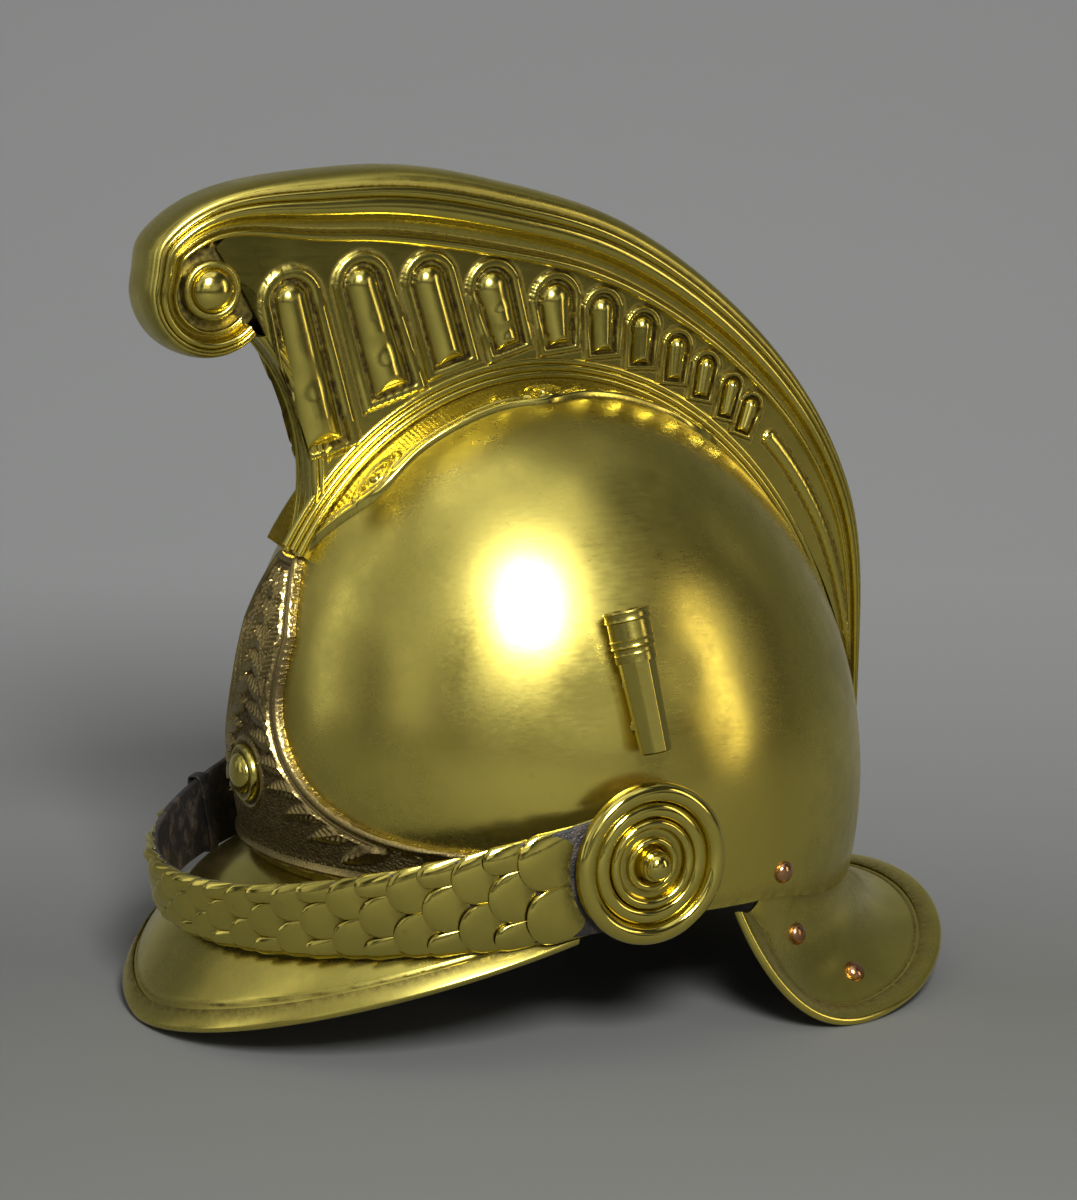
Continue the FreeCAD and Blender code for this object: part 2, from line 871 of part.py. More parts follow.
def gadroons(frames):
    """Arched frames with a raised rib in each, smaller towards the back."""
    bodies = []
    for foot, top, foot_width, top_width in gadroon_axes(frames):
        rim = min(foot_width, top_width) * gadroon_frame_share
        body = flat_body(arch(foot, top, foot_width, top_width, 0.0), -web_wall / 2, gadroon_height + web_wall / 2)
        pocket = flat_body(arch(foot, top, foot_width, top_width, rim), 0.0, gadroon_height + cut_over)
        low = arch(foot, top, foot_width, top_width, rim * gadroon_recess_share)
        high = arch(foot, top, foot_width, top_width, min(foot_width, top_width) * gadroon_crown_share)
        bodies.append(body.cut(pocket))
        bodies.append(ridge_body(low, high, gadroon_rib_height))
    bodies.append(tail_gadroon(frames))
    return bodies


def tail_gadroon(frames):
    """The last one runs out to a point along the tail."""
    edge, foot = gadroon_lines(frames)
    first_top, first_foot = gadroon_top_shares[-1], gadroon_foot_shares[-1]
    n = tail_gadroon_steps
    middle = []
    for i in range(n + 1):
        a = line_point(edge, first_top + (tail_gadroon_end_share - first_top) * i / n)
        b = line_point(foot, first_foot + (tail_gadroon_end_share - first_foot) * i / n)
        middle.append((a + b) * 0.5)
    upper, lower, crest, crown = [], [], [], []
    for i, p in enumerate(middle):
        along = middle[min(i + 1, n)] - middle[max(i - 1, 0)]
        along.normalize()
        half = tail_gadroon_half * (1 - (i / n) ** 2) + tail_gadroon_point_half
        side = vec(0, -along.z, along.y) * half
        upper.append(p + side)
        lower.append(p - side)
        crest.append(p + side * tail_gadroon_crown_share)
        crown.append(p - side * tail_gadroon_crown_share)
    height = gadroon_rib_height * tail_gadroon_height_share
    return ridge_body(upper + lower[::-1], crest + crown[::-1], height)


def strip_block(side_over):
    """The side view of the front strip with its seat gap, as a block that its neighbours are cut with."""
    near = front_edge(-cut_over * 4)
    back = front_edge(front_strip_depth + seat_gap)
    low = vec(0, back[-1].y, front_strip_foot_z - crest_block_length)
    corner = vec(0, near[-1].y, low.z)
    outline = near + [corner, low] + back[::-1]
    return flat_body(outline, -side_over, 2 * side_over)


def volute_hollow():
    """Side view points of the web's edge round the volute's core."""
    points = []
    for angle in volute_hollow_angles:
        a = math.radians(angle)
        r = volute_core_radius + cover_gap
        points.append(vec(0, volute_y + r * math.cos(a), volute_z + r * math.sin(a)))
    return points


def foot_block():
    """The space of the foot moulding beside the web, which the gadroons end above."""
    start_y = front_strip_foot_y
    low = foot_line(0.0, start_y, crest_tail_z)
    top = foot_line(flange_sheet + 2 * seat_gap + foot_bead_height, start_y, crest_tail_z)
    return flat_body(low + top[::-1], 0.0, cornice_half_width)


def crest_side(frames, seat):
    """One pressed side of the crest: the web plate with its gadroons."""
    edge = inner_edge(frames, seat_gap)
    low = foot_line(0.0, front_strip_foot_y + front_strip_depth, crest_tail_z)
    front = front_edge(front_strip_depth + seat_gap)
    outline = front[::-1][1:] + volute_hollow() + edge + low[::-1][:-1]
    plate = flat_body(outline, -web_wall, web_wall)
    field = flat_body(outline, -web_wall, web_wall + gadroon_height + gadroon_rib_height).cut(foot_block())
    relief = [body.common(field) for body in gadroons(frames)]
    body = plate.multiFuse(relief).cut(strip_block(cornice_half_width))
    return onto_web(body).cut(seat)


def foot_beads(seat):
    """The moulding along the foot of the web: two rounded ridges over the flange."""
    lift = flange_sheet + seat_gap
    start_y = front_strip_foot_y + front_strip_depth
    base = foot_line(0.0, start_y, crest_tail_z, foot_stations)
    top = foot_line(lift + foot_bead_height, start_y, crest_tail_z, foot_stations)
    rings = []
    for i, (a, b) in enumerate(zip(base, top)):
        shrink = 1 - foot_bead_thin_share * i / (len(base) - 1)
        rings.append([a + (b - a) * up + vec(foot_bead_proud * shrink * out, 0, 0)
                      for out, up in foot_bead_shares])
    beads = faceted_loft(rings).cut(strip_block(cornice_half_width))
    return onto_web(beads).cut(seat)


def crest_front_strip():
    """The hollow front edge of the crest, a strip with a rounded face."""
    rings = []
    for a, b in zip(front_edge(0.0), front_edge(front_strip_depth)):
        half = [(front_strip_half_width * out, a + (b - a) * deep) for out, deep in front_strip_shares]
        rings.append([p + vec(x, 0, 0) for x, p in half] + [p - vec(x, 0, 0) for x, p in half[::-1]])
    return faceted_loft(rings).cut(dome(flange_sheet + seat_gap))


def flange_half(u):
    """Half width of the flange at share u of the way from the front to the tail."""
    arch_share = min(1.0, u * flange_arch_reach + flange_arch_start)
    arch_rise = math.sin(math.pi * arch_share) ** flange_arch_power
    body = flange_half_width * (flange_root_share + (1 - flange_root_share) * arch_rise)
    wave = sum(math.exp(-((u - eye) / flange_wave_reach) ** 2) for eye in flange_eye_shares)
    return body * (1 - flange_taper_share * u) + flange_wave * (wave - flange_wave_level)


def crest_flange(sheet_body):
    """The foot flange on one side of the crest, lying on the skull, with a wavy lower edge."""
    y0 = front_strip_foot_y
    y1 = crest_tail_y - cornice_depth
    n = flange_stations
    outer = [vec(flange_half(i / n), y0 + (y1 - y0) * i / n, 0) for i in range(n + 1)]
    inner = [vec(flange_inner, y1, 0), vec(flange_inner, y0, 0)]
    face = Part.Face(Part.makePolygon(outer + inner + outer[:1]))
    return sheet_body.common(face.extrude(vec(0, 0, crest_top_z)))


def flange_sheet_body():
    """The skull's cap grown by the flange's thickness, open above the front plate."""
    body = dome(flange_sheet).cut(dome(0.0))
    reach = skull_half_length * 2
    front = Part.makeBox(reach, reach, plate_top_z + seat_gap, vec(-reach / 2, -reach, 0))
    return body.cut(front)


def flange_studs():
    """Domed heads of the screws in the three eyes of each flange."""
    heads = []
    y0 = front_strip_foot_y
    y1 = crest_tail_y - cornice_depth
    for share in flange_eye_shares:
        y = y0 + (y1 - y0) * share
        x = flange_half(share) - flange_eye_inset
        low, high = skull_mid_z, skull_mid_z + skull_half_height
        for _ in range(40):
            z = (low + high) / 2
            if side_x(y, z) > x:
                low = z
            else:
                high = z
        point = vec(x, y, low)
        normal = skull_normal(point)
        base = point + normal * (flange_sheet + seat_gap)
        head = turned(base, normal, domed_rows(0.0, flange_stud_radius, flange_stud_height), rivet_sides)
        heads += [head, mirrored(head)]
    return Part.makeCompound(heads)


def plate_outline():
    """Front view of the plate: a neck under the crest that spreads into two low wings."""
    side = [vec(plate_neck_half * out, 0, plate_top_z - plate_neck_half * down) for out, down in plate_top_shares]
    side.append(vec(plate_neck_half, 0, plate_neck_z))
    n = plate_arc_steps
    for i in range(1, n + 1):
        a = math.radians(90.0 * i / n)
        x = plate_neck_half + (plate_wing_half - plate_neck_half) * (1 - math.cos(a))
        z = plate_neck_z - (plate_neck_z - plate_wing_z) * math.sin(a)
        side.append(vec(x, 0, z))
    side.append(vec(plate_wing_half, 0, plate_bottom_z))
    return side


def plate_face(inset):
    """The plate's front view, drawn in by an inset."""
    side = plate_outline()
    full = side + [vec(-p.x, 0, p.z) for p in side[:0:-1]]
    face = Part.Face(Part.makePolygon(full + full[:1]))
    if inset == 0:
        return face
    return face.makeOffset2D(-inset, join=2)


def front_layer(low_grow, high_grow, tool):
    """The part of a layer over the skull that a front view outline covers."""
    body = dome(high_grow).cut(dome(low_grow))
    reach = skull_half_length * 1.5
    moved = tool.copy()
    moved.translate(vec(0, skull_mid_y - skull_half_length * 0.2, 0))
    return body.common(moved.extrude(vec(0, -reach, 0)))


def front_plate():
    return front_layer(0.0, plate_sheet, plate_face(0))


def plate_border():
    """The raised rim along the plate's edge."""
    rim = plate_face(0).cut(plate_face(plate_bead_width))
    return front_layer(plate_sheet, plate_sheet + plate_bead_height, rim)


def leaf_face(x, z, turn):
    """A pointed leaf in the front view."""
    a = math.radians(turn)
    along = vec(math.sin(a), 0, math.cos(a))
    across = vec(math.cos(a), 0, -math.sin(a))
    half = leaf_length / 2
    wide = leaf_length * leaf_width_share / 2
    middle = vec(x, 0, z)
    right = [middle + across * (wide * out) + along * (half * up) for out, up in leaf_outline_shares]
    left = [middle - across * (wide * out) + along * (half * up) for out, up in leaf_outline_shares[-2:0:-1]]
    return Part.Face(Part.makePolygon(right + left + right[:1]))


def plate_leaves():
    """Laurel leaves in relief on both sides of the plate's middle."""
    height = plate_top_z - plate_bottom_z
    leaves = []
    field = plate_face(plate_bead_width + cover_gap)
    for reach, rise, turn in leaf_shares:
        x = plate_wing_half * reach
        z = plate_bottom_z + height * rise
        leaf = leaf_face(x, z, turn).common(field)
        layer = front_layer(plate_sheet, plate_sheet + leaf_height, leaf)
        leaves += [layer, mirrored(layer)]
    return Part.makeCompound(leaves)


def plate_boss():
    """Round boss in the middle of the plate."""
    start = vec(0, front_y(0, boss_z, plate_sheet) + cut_over, boss_z)
    rim = cut_over + boss_height * boss_rim_share
    rows = [(0.0, boss_radius), (rim, boss_radius)]
    rows += domed_rows(rim, boss_radius * boss_dome_share, boss_height * (1 - boss_rim_share))
    boss = turned(start, vec(0, -1, 0), rows, volute_sides)
    return boss.cut(dome(plate_sheet + seat_gap))


def crest_bolts():
    """Blocks between the crest's sides, each with a bolt down through the skull."""
    seat = dome(flange_sheet + seat_gap)
    bolts = []
    for y in crest_bolt_ys:
        point, normal = middle_normal(y)
        along = vec(0, normal.z, -normal.y)
        turn = math.tan(math.radians(web_turn()))
        run = y + crest_block_length - front_strip_foot_y
        half = web_half_front - web_wall - run * turn - seat_gap
        top = point + normal * (flange_sheet + crest_block_height)
        ring = []
        for side, end in ((-1, -1), (1, -1), (1, 1), (-1, 1)):
            ring.append(vec(half * side, 0, 0) + along * (crest_block_length / 2 * end))
        block = faceted_loft([[point + p for p in ring], [top + p for p in ring]]).cut(seat)
        depth = skull_wall + nut_height + 2 * cut_over
        shank = turned(point, normal, [(-depth, bolt_radius), (crest_block_height / 2, bolt_radius)], stud_sides)
        bolts.append(block.fuse(shank))
    return Part.makeCompound(bolts)


def plate_studs():
    studs = []
    for z in plate_stud_zs:
        point = vec(0, front_y(0, z), z)
        length = skull_wall + nut_height + 2 * cut_over
        rows = [(-length, bolt_radius), (-2 * cover_gap, bolt_radius)]
        studs.append(turned(point, skull_normal(point), rows, stud_sides))
    return Part.makeCompound(studs)


def hex_nut(base, axis, hole, radius, sides=stud_sides):
    body = turned(base, axis, [(0.0, radius), (nut_height, radius)], 6)
    bore = [(-nut_height, hole + bolt_gap), (2 * nut_height, hole + bolt_gap)]
    return body.cut(turned(base, axis, bore, sides))


def inner_nuts():
    """Nuts inside the skull on the crest's bolts and the plate's studs."""
    drop = skull_wall + 2 * cover_gap + seat_gap
    nuts = []
    for y in crest_bolt_ys:
        point, normal = middle_normal(y)
        nuts.append(hex_nut(point - normal * drop, normal * -1, bolt_radius, nut_radius))
    for z in plate_stud_zs:
        point = vec(0, front_y(0, z), z)
        normal = skull_normal(point)
        nuts.append(hex_nut(point - normal * drop, normal * -1, bolt_radius, nut_radius))
    return Part.makeCompound(nuts)


def strap_point(t):
    """Point and outward direction on the strap's loop; t is in degrees from the front."""
    a = math.radians(t)
    point = vec(strap_half_width * math.sin(a), -strap_reach * math.cos(a), 0)
    out = vec(math.sin(a) / strap_half_width, -math.cos(a) / strap_reach, 0)
    out.normalize()
    return point, out


def strap_width(point):
    share = min(max(-point.y / strap_reach, 0.0), 1.0)
    return strap_root_width + (strap_tip_width - strap_root_width) * share


def set_strap(shape):
    """Turn a body from the strap's own level plane to its droop, about the pivots."""
    shape.rotate(vec(0, 0, 0), vec(1, 0, 0), strap_droop)
    shape.translate(vec(0, pivot_y, pivot_z))
    return shape


def strap_band(start, stop, low_out, high_out, width=None):
    """A length of band on the strap's loop between two angles and two distances outside it."""
    rings = []
    step = 90.0 / strap_stations
    low, high = min(start, stop), max(start, stop)
    turns = [low] + [k * step for k in range(-strap_stations, strap_stations + 1) if low < k * step < high] + [high]
    for turn in turns:
        point, out = strap_point(turn)
        w = (width or strap_width(point)) / 2
        inner, outer = point + out * low_out, point + out * high_out
        rings.append([inner + vec(0, 0, -w), outer + vec(0, 0, -w), outer + vec(0, 0, w), inner + vec(0, 0, w)])
    return faceted_loft(rings)


def strap_leather_half(stop):
    """Leather from the pivot eye round to an angle; negative angles lie past the front."""
    band = strap_band(90.0, stop, 0.0, strap_leather)
    rows = [(0.0, strap_root_width / 2), (strap_leather, strap_root_width / 2)]
    eye = turned(vec(strap_half_width, 0, 0), vec(1, 0, 0), rows, pivot_eye_sides)
    hole = Part.makeCylinder(pivot_bolt_radius + bolt_gap, strap_leather + 2 * cut_over,
                             vec(strap_half_width - cut_over, 0, 0), vec(1, 0, 0))
    return set_strap(band.fuse(eye).cut(hole))


def strap_tongue():
    """Narrow tongue of the left half, lying over the right half and through the buckle."""
    low = strap_leather + seat_gap
    end = -90.0 * tongue_end_step / strap_stations
    return set_strap(strap_band(tongue_root_angle, end, low, low + tongue_outer_leather, tongue_outer_width))


def loop_frame(t):
    point, out = strap_point(t)
    ahead = vec(out.y, -out.x, 0)
    return point, out, ahead


def box_on(t, along, across, out_low, out_high):
    """A box on the strap at angle t: ranges along it, across it and outwards."""
    point, out, ahead = loop_frame(t)
    ring = []
    for a, c in ((along[0], across[0]), (along[1], across[0]), (along[1], across[1]), (along[0], across[1])):
        ring.append(point + ahead * a + vec(0, 0, c))
    return faceted_loft([[p + out * out_low for p in ring], [p + out * out_high for p in ring]])


def buckle_levels():
    """Heights over the strap's inner face: the tongue's outer face and the hinge pin's middle."""
    tongue = strap_leather + seat_gap + tongue_outer_leather
    return tongue, tongue + cover_gap + buckle_sag() + prong_eye_radius


def buckle_sag():
    """How far the curved strap stands proud of the buckle's flat foot, over half its length."""
    half = buckle_length / 2
    return half * half / (2 * strap_half_width)


def buckle_frame():
    """Open frame with a hinge pin at its back, standing on the right half outside the tongue."""
    tongue, pin = buckle_levels()
    half = tongue_outer_width / 2 + cover_gap
    outer = half + buckle_side
    length = buckle_length / 2
    foot = strap_leather + seat_gap
    top = pin + buckle_pin_radius
    sides = [box_on(buckle_angle, (-length, length), (s * half, s * outer), foot, top) for s in (-1, 1)]
    over = tongue + cover_gap + buckle_sag()
    bar = box_on(buckle_angle, (-length, -length + buckle_side), (-outer, outer), over, top - buckle_pin_radius)
    point, out, ahead = loop_frame(buckle_angle)
    start = point + out * pin + ahead * (length - buckle_side) + vec(0, 0, -outer)
    rod = turned(start, vec(0, 0, 1), [(0.0, buckle_pin_radius), (2 * outer, buckle_pin_radius)], rivet_sides)
    return set_strap(sides[0].fuse([sides[1], bar, rod]))


def prong_axis():
    """Middle of the prong's hinge, in the helmet's frame."""
    point, out, ahead = loop_frame(buckle_angle)
    place = point + out * buckle_levels()[1] + ahead * (buckle_length / 2 - buckle_side)
    marker = set_strap(Part.Vertex(place))
    return marker.Point


def buckle_prong():
    """Prong with its eye round the hinge pin and its tip over the frame's bar."""
    pin = buckle_levels()[1]
    length = buckle_length / 2
    point, out, ahead = loop_frame(buckle_angle)
    half = prong_width / 2
    start = point + out * pin + ahead * (length - buckle_side)
    eye = turned(start, vec(0, 0, 1), [(-half, prong_eye_radius), (half, prong_eye_radius)], pivot_bolt_sides)
    r = buckle_pin_radius + 2 * bolt_gap
    hole = turned(start, vec(0, 0, 1), [(-prong_width, r), (prong_width, r)], pivot_bolt_sides)
    tail = box_on(buckle_angle, (-length, length - buckle_side), (-half, half), pin + seat_gap,
                  pin + prong_eye_radius)
    return set_strap(eye.fuse(tail).cut(hole))


def strap_keeper():
    """Loop round both layers behind the buckle."""
    low = -keeper_gap
    high = strap_leather + seat_gap + tongue_outer_leather + keeper_gap
    half_along = keeper_width / 2
    point = strap_point(keeper_angle)[0]
    half = strap_width(point) / 2 + keeper_gap
    outside = box_on(keeper_angle, (-half_along, half_along), (-half - keeper_sheet, half + keeper_sheet),
                     low - keeper_sheet, high + keeper_sheet)
    inside = box_on(keeper_angle, (-half_along - cut_over, half_along + cut_over), (-half, half), low, high)
    return set_strap(outside.cut(inside))


def strap_angles():
    """Angle and pitch of each scale row on the loop, from the rosette to beyond the front."""
    turns = [90.0 - strap_sweep * i / strap_sweep_steps for i in range(strap_sweep_steps + 1)]
    points = [strap_point(turn)[0] for turn in turns]
    lengths = [0.0]
    for p, q in zip(points[:-1], points[1:]):
        lengths.append(lengths[-1] + p.distanceToPoint(q))
    rows = []
    distance, pitch = rosette_radius + scale_root_gap, scale_first_pitch
    for _ in range(scale_rows):
        i = min(range(len(turns)), key=lambda k: abs(lengths[k] - distance))
        rows.append((turns[i], pitch))
        distance += pitch
        pitch *= scale_pitch_share
    return rows


def scale_outline(width, length, lobes):
    """A scale row: straight at the root, with round lobes at its leading edge."""
    half = width / 2
    points = [(0.0, -half), (0.0, half)]
    if lobes == 2:
        cuts = (half, 0.0, -half)
    else:
        middle = half * scale_middle_share
        cuts = (half, middle, -middle, -half)
    for top, low in zip(cuts[:-1], cuts[1:]):
        r = (top - low) / 2
        centre = (top + low) / 2
        bulge = min(r, length * scale_bulge_share)
        for k in range(scale_arc_steps + 1):
            a = math.pi * k / scale_arc_steps
            points.append((length - bulge + bulge * math.sin(a), centre + r * math.cos(a)))
    return points


def chin_scales(rows):
    bodies = []
    for k, (t, pitch) in enumerate(strap_angles()[:rows]):
        point, out, ahead = loop_frame(t)
        length = pitch + scale_lap
        tilt = math.atan(scale_lift / pitch)
        along = ahead * math.cos(tilt) + out * math.sin(tilt)
        lift = out * math.cos(tilt) - ahead * math.sin(tilt)
        root = point + out * (strap_leather + seat_gap)
        outline = scale_outline(strap_width(point), length, 2 if k % 2 == 0 else 3)
        ring = [root + along * s + vec(0, 0, w) for s, w in outline]
        face = Part.Face(Part.makePolygon(ring + ring[:1]))
        bodies.append(set_strap(face.extrude(lift * scale_sheet)))
    return bodies


def boss_low():
    return skull_half_width - pivot_boss_sink


def pivot_boss():
    """Boss that stands off the skull and carries the strap's eye."""
    low = boss_low()
    height = strap_half_width - pivot_boss_gap - low
    start = vec(low, pivot_y, pivot_z)
    boss = turned(start, vec(1, 0, 0), [(0.0, pivot_boss_radius), (height, pivot_boss_radius)], pivot_boss_sides)
    return boss.cut(Part.makeCylinder(pivot_bolt_radius + bolt_gap, height, start, vec(1, 0, 0)))


def pivot_boss_hole():
    start = vec(skull_half_width - 4 * pivot_boss_sink, pivot_y, pivot_z)
    return turned(start, vec(1, 0, 0), [(0.0, pivot_boss_radius + seat_gap),
                                        (8 * pivot_boss_sink, pivot_boss_radius + seat_gap)], pivot_boss_sides)


def rosette_seat():
    return strap_half_width + strap_leather + running_gap


def rosette():
    """Ringed rosette over the strap's eye, turned from a stepped profile."""
    start = vec(rosette_seat(), pivot_y, pivot_z)
    rows = [(rosette_height * rise, rosette_radius * share) for share, rise in rosette_shares]
    body = turned(start, vec(1, 0, 0), rows, rosette_sides)
    return body.cut(Part.makeCylinder(pivot_bolt_radius + bolt_gap, 2 * rosette_height, start, vec(1, 0, 0)))


def pivot_bolt():
    """Bolt with a domed knob through rosette, eye and boss."""
    low = boss_low() - nut_height - cut_over
    seat = rosette_seat() + rosette_height * rosette_shares[-1][1] + seat_gap
    start = vec(seat, pivot_y, pivot_z)
    rows = [(low - seat, pivot_bolt_radius), (0.0, pivot_bolt_radius)]
    rows += domed_rows(0.0, knob_radius, knob_height)
    return turned(start, vec(1, 0, 0), rows, pivot_bolt_sides)


def pivot_nut():
    start = vec(boss_low() - seat_gap, pivot_y, pivot_z)
    return hex_nut(start, vec(-1, 0, 0), pivot_bolt_radius, pivot_nut_radius, pivot_bolt_sides)


def socket_ends():
    """Middle of the socket's mouth and foot, standing off the skull."""
    off = socket_stand_off + socket_foot_radius
    rise = socket_top_radius - socket_foot_radius
    top = vec(side_x(socket_top_y, socket_top_z) + off + rise, socket_top_y, socket_top_z)
    foot = vec(side_x(socket_foot_y, socket_foot_z) + off, socket_foot_y, socket_foot_z)
    return top, foot


def plume_socket():
    """Tapered faceted tube with a blind bore, open at its top, on two saddles."""
    top, foot = socket_ends()
    axis = top - foot
    length = axis.Length
    axis.normalize()
    tube = turned(foot, axis, [(0.0, socket_foot_radius), (length, socket_top_radius)], socket_sides)
    parts = []
    seat = dome(seat_gap)
    for share in socket_saddle_shares:
        middle = foot + axis * (length * share)
        reach = 2 * socket_foot_radius + socket_stand_off
        rows = [(0.0, socket_saddle_radius), (reach, socket_saddle_radius)]
        saddle = turned(middle, vec(-1, 0, 0), rows, socket_saddle_sides)
        parts.append(saddle.cut(seat))
    bore = Part.makeCylinder(socket_bore_radius, socket_bore_depth + cut_over, top - axis * socket_bore_depth, axis)
    return tube.fuse(parts).cut(bore)


def socket_collar():
    """Collar with two ring mouldings round the socket's mouth."""
    top, foot = socket_ends()
    axis = foot - top
    axis.normalize()
    h = socket_collar_height
    rows = [(h * up, socket_collar_radius * out) for up, out in socket_collar_shares]
    body = turned(top, axis, rows, socket_collar_sides)
    length = (top - foot).Length
    hole = turned(foot, axis * -1, [(0.0, socket_foot_radius + seat_gap),
                                    (length + cut_over, socket_top_radius + seat_gap)], socket_sides)
    return body.cut(hole).cut(dome(seat_gap))


def domed_rivet(point, normal, reach):
    """Domed head outside with a shank inwards."""
    rows = [(-reach, rivet_shank_radius), (0.0, rivet_shank_radius)]
    rows += domed_rows(0.0, rivet_head_radius, rivet_head_height)
    return turned(point, normal, rows, rivet_sides)


def collar_rivet_places():
    """Point and direction of each rivet through the skull and the guard's collar."""
    places = []
    for turn in collar_rivet_angles:
        angle = 180.0 - turn
        z = edge_z(angle) + collar_height * collar_rivet_share
        point = wall_point(angle, z, seat_gap)
        places.append((point, skull_normal(point)))
    return places


def guard_rivet_places():
    """Point and direction of each rivet on the guard's flare."""
    places = []
    for turn, share in zip(guard_rivet_angles, guard_rivet_shares):
        outer = nape_section(turn)[1]
        start, middle, rim = outer[1], outer[2], outer[-1]
        a, b, s = (start, middle, share * 2) if share < 0.5 else (middle, rim, share * 2 - 1)
        places.append((a + (b - a) * s, offset_normal(b - a)))
    return places


def brim_rivets(guard):
    """Rivets through the skull and the collar, and rivets bedded on the guard's flare."""
    rivets = []
    for point, normal in collar_rivet_places():
        rivet = domed_rivet(point, normal, skull_wall + cover_gap + sheet)
        rivets += [rivet, mirrored(rivet)]
    for point, normal in guard_rivet_places():
        rivet = domed_rivet(point - normal * seat_gap, normal, 2 * sheet)
        for shape in (rivet, mirrored(rivet)):
            bedded = shape.cut(guard)
            rivets.append(max(bedded.Solids, key=lambda solid: solid.Volume))
    return rivets


def rivet_holes(places, over):
    """Holes for rivets, on both sides of the helmet."""
    holes = []
    r = rivet_shank_radius + bolt_gap
    for point, normal in places:
        hole = turned(point, normal, [(-over, r), (over, r)], rivet_sides)
        holes += [hole, mirrored(hole)]
    return holes


def band_grow():
    """How far the headband's outer face lies inside the skull's outer surface."""
    return -skull_wall - sheet - 3 * cover_gap


def liner_band():
    """Leather headband, with room for the strap's nuts behind it."""
    outer_grow = band_grow()
    inner_grow = outer_grow - band_leather
    levels = (band_low_z, (band_low_z + band_top_z) / 2, band_top_z)
    outer = faceted_loft([skull_ring(z, outer_grow) for z in levels])
    inner = [skull_ring(z, inner_grow) for z in levels]
    rings = [[p - vec(0, 0, cut_over) for p in inner[0]]] + inner + [[p + vec(0, 0, cut_over) for p in inner[-1]]]
    start = vec(skull_half_width - 4 * band_leather, pivot_y, pivot_z)
    r = pivot_nut_radius + cut_over
    room = turned(start, vec(1, 0, 0), [(0.0, r), (4 * band_leather, r)], stud_sides)
    return outer.cut([faceted_loft(rings), room, mirrored(room)])


def tongue_point(angle, t, inset):
    """Point on a tongue: t runs from its foot inside the headband to its top near the crown."""
    rise = math.sin(math.pi / 2 * t)
    z = tongue_low_z + (tongue_top_z - tongue_low_z) * rise
    share = tongue_top_share + (1 - tongue_top_share) * math.cos(math.pi / 2 * t)
    a = math.radians(angle)
    grow = band_grow() - band_leather - inset
    reach = skull_scale(tongue_low_z, grow) * share
    x = (skull_half_width + grow) * reach * math.sin(a)
    y = skull_axis_y(z) - (skull_half_length + grow) * reach * math.cos(a)
    return vec(x, y, z - inset * rise)


def liner_tongues():
    """Leather tongues rising from the headband towards the crown."""
    tongues = []
    for k in range(tongue_count):
        middle = 360.0 * (k + 0.5) / tongue_count
        rings = []
        for i in range(tongue_stations + 1):
            t = i / tongue_stations
            turns = (middle - tongue_half_turn, middle + tongue_half_turn)
            outer = [tongue_point(a, t, 3 * cover_gap) for a in turns]
            inner = [tongue_point(a, t, 3 * cover_gap + tongue_leather) for a in turns]
            rings.append(outer + inner[::-1])
        tongues.append(faceted_loft(rings))
    return Part.makeCompound(tongues)


def save(shape, name):
    shape.exportStep("parts/" + name + ".step")
    print(name, len(shape.Solids), "solids", round(shape.Volume / 1000, 1), "cm3", shape.isValid())


def save_pair(shape, name):
    save(shape, name + "_left")
    save(mirrored(shape), name + "_right")


def save_both(shape, name):
    save(Part.makeCompound([shape, mirrored(shape)]), name)


def save_shell():
    collar_holes = rivet_holes(collar_rivet_places(), sheet * 4)
    save(skull_shell().cut(collar_holes), "skull_shell")
    peak, nape = peak_sections(), nape_sections()
    save(strip_loft(peak), "front_peak")
    save(binding(peak), "front_peak_binding")
    guard_holes = rivet_holes(guard_rivet_places(), sheet * 4)
    guard = strip_loft(nape).cut(collar_holes + guard_holes)
    save(guard, "nape_guard")
    save(binding(nape), "nape_guard_binding")
    save(Part.makeCompound(brim_rivets(guard)), "brim_rivets")


def save_crest():
    frames = spine_frames()
    seat = dome(flange_sheet + seat_gap)
    sheet_body = flange_sheet_body()
    save(crest_band(frames), "crest_top_band")
    save_pair(crest_cornice(frames), "crest_cornice")
    save(volute_bosses(), "volute_bosses")
    save_pair(crest_side(frames, seat), "crest_side")
    save_both(foot_beads(seat), "crest_foot_beads")
    save(crest_front_strip(), "crest_front_strip")
    save_pair(crest_flange(sheet_body), "crest_flange")
    save(flange_studs(), "flange_studs")
    save(crest_bolts(), "crest_bolts")


def save_plate():
    save(front_plate(), "front_plate")
    save(plate_border(), "plate_border")
    save(plate_leaves(), "plate_leaves")
    save(plate_boss(), "plate_boss")
    save(plate_studs(), "plate_studs")
    save(inner_nuts(), "inner_nuts")


def save_strap():
    seam = 90.0 * strap_seam_step / strap_stations
    gap = math.degrees(seat_gap / strap_half_width)
    save(strap_leather_half(gap - seam), "strap_leather_left")
    save(mirrored(strap_leather_half(seam)), "strap_leather_right")
    save(Part.makeCompound(chin_scales(scale_rows)), "chin_scales_left")
    save(mirrored(Part.makeCompound(chin_scales(right_scale_rows))), "chin_scales_right")
    save(strap_tongue(), "strap_tongue")
    save(buckle_frame(), "buckle_frame")
    save(buckle_prong(), "buckle_prong")
    save(strap_keeper(), "strap_keeper")
    save_both(pivot_boss(), "pivot_bosses")
    save_both(rosette(), "rosettes")
    save_both(pivot_bolt(), "pivot_bolts")
    save_both(pivot_nut(), "pivot_nuts")
    print("prong hinge at", prong_axis())


def main():
    os.makedirs("parts", exist_ok=True)
    save_shell()
    save_crest()
    save_plate()
    save_strap()
    save(plume_socket(), "plume_socket")
    print("socket mouth and foot at", socket_ends())
    save(socket_collar(), "socket_collar")
    save(liner_band(), "liner_headband")
    save(liner_tongues(), "liner_tongues")


main()
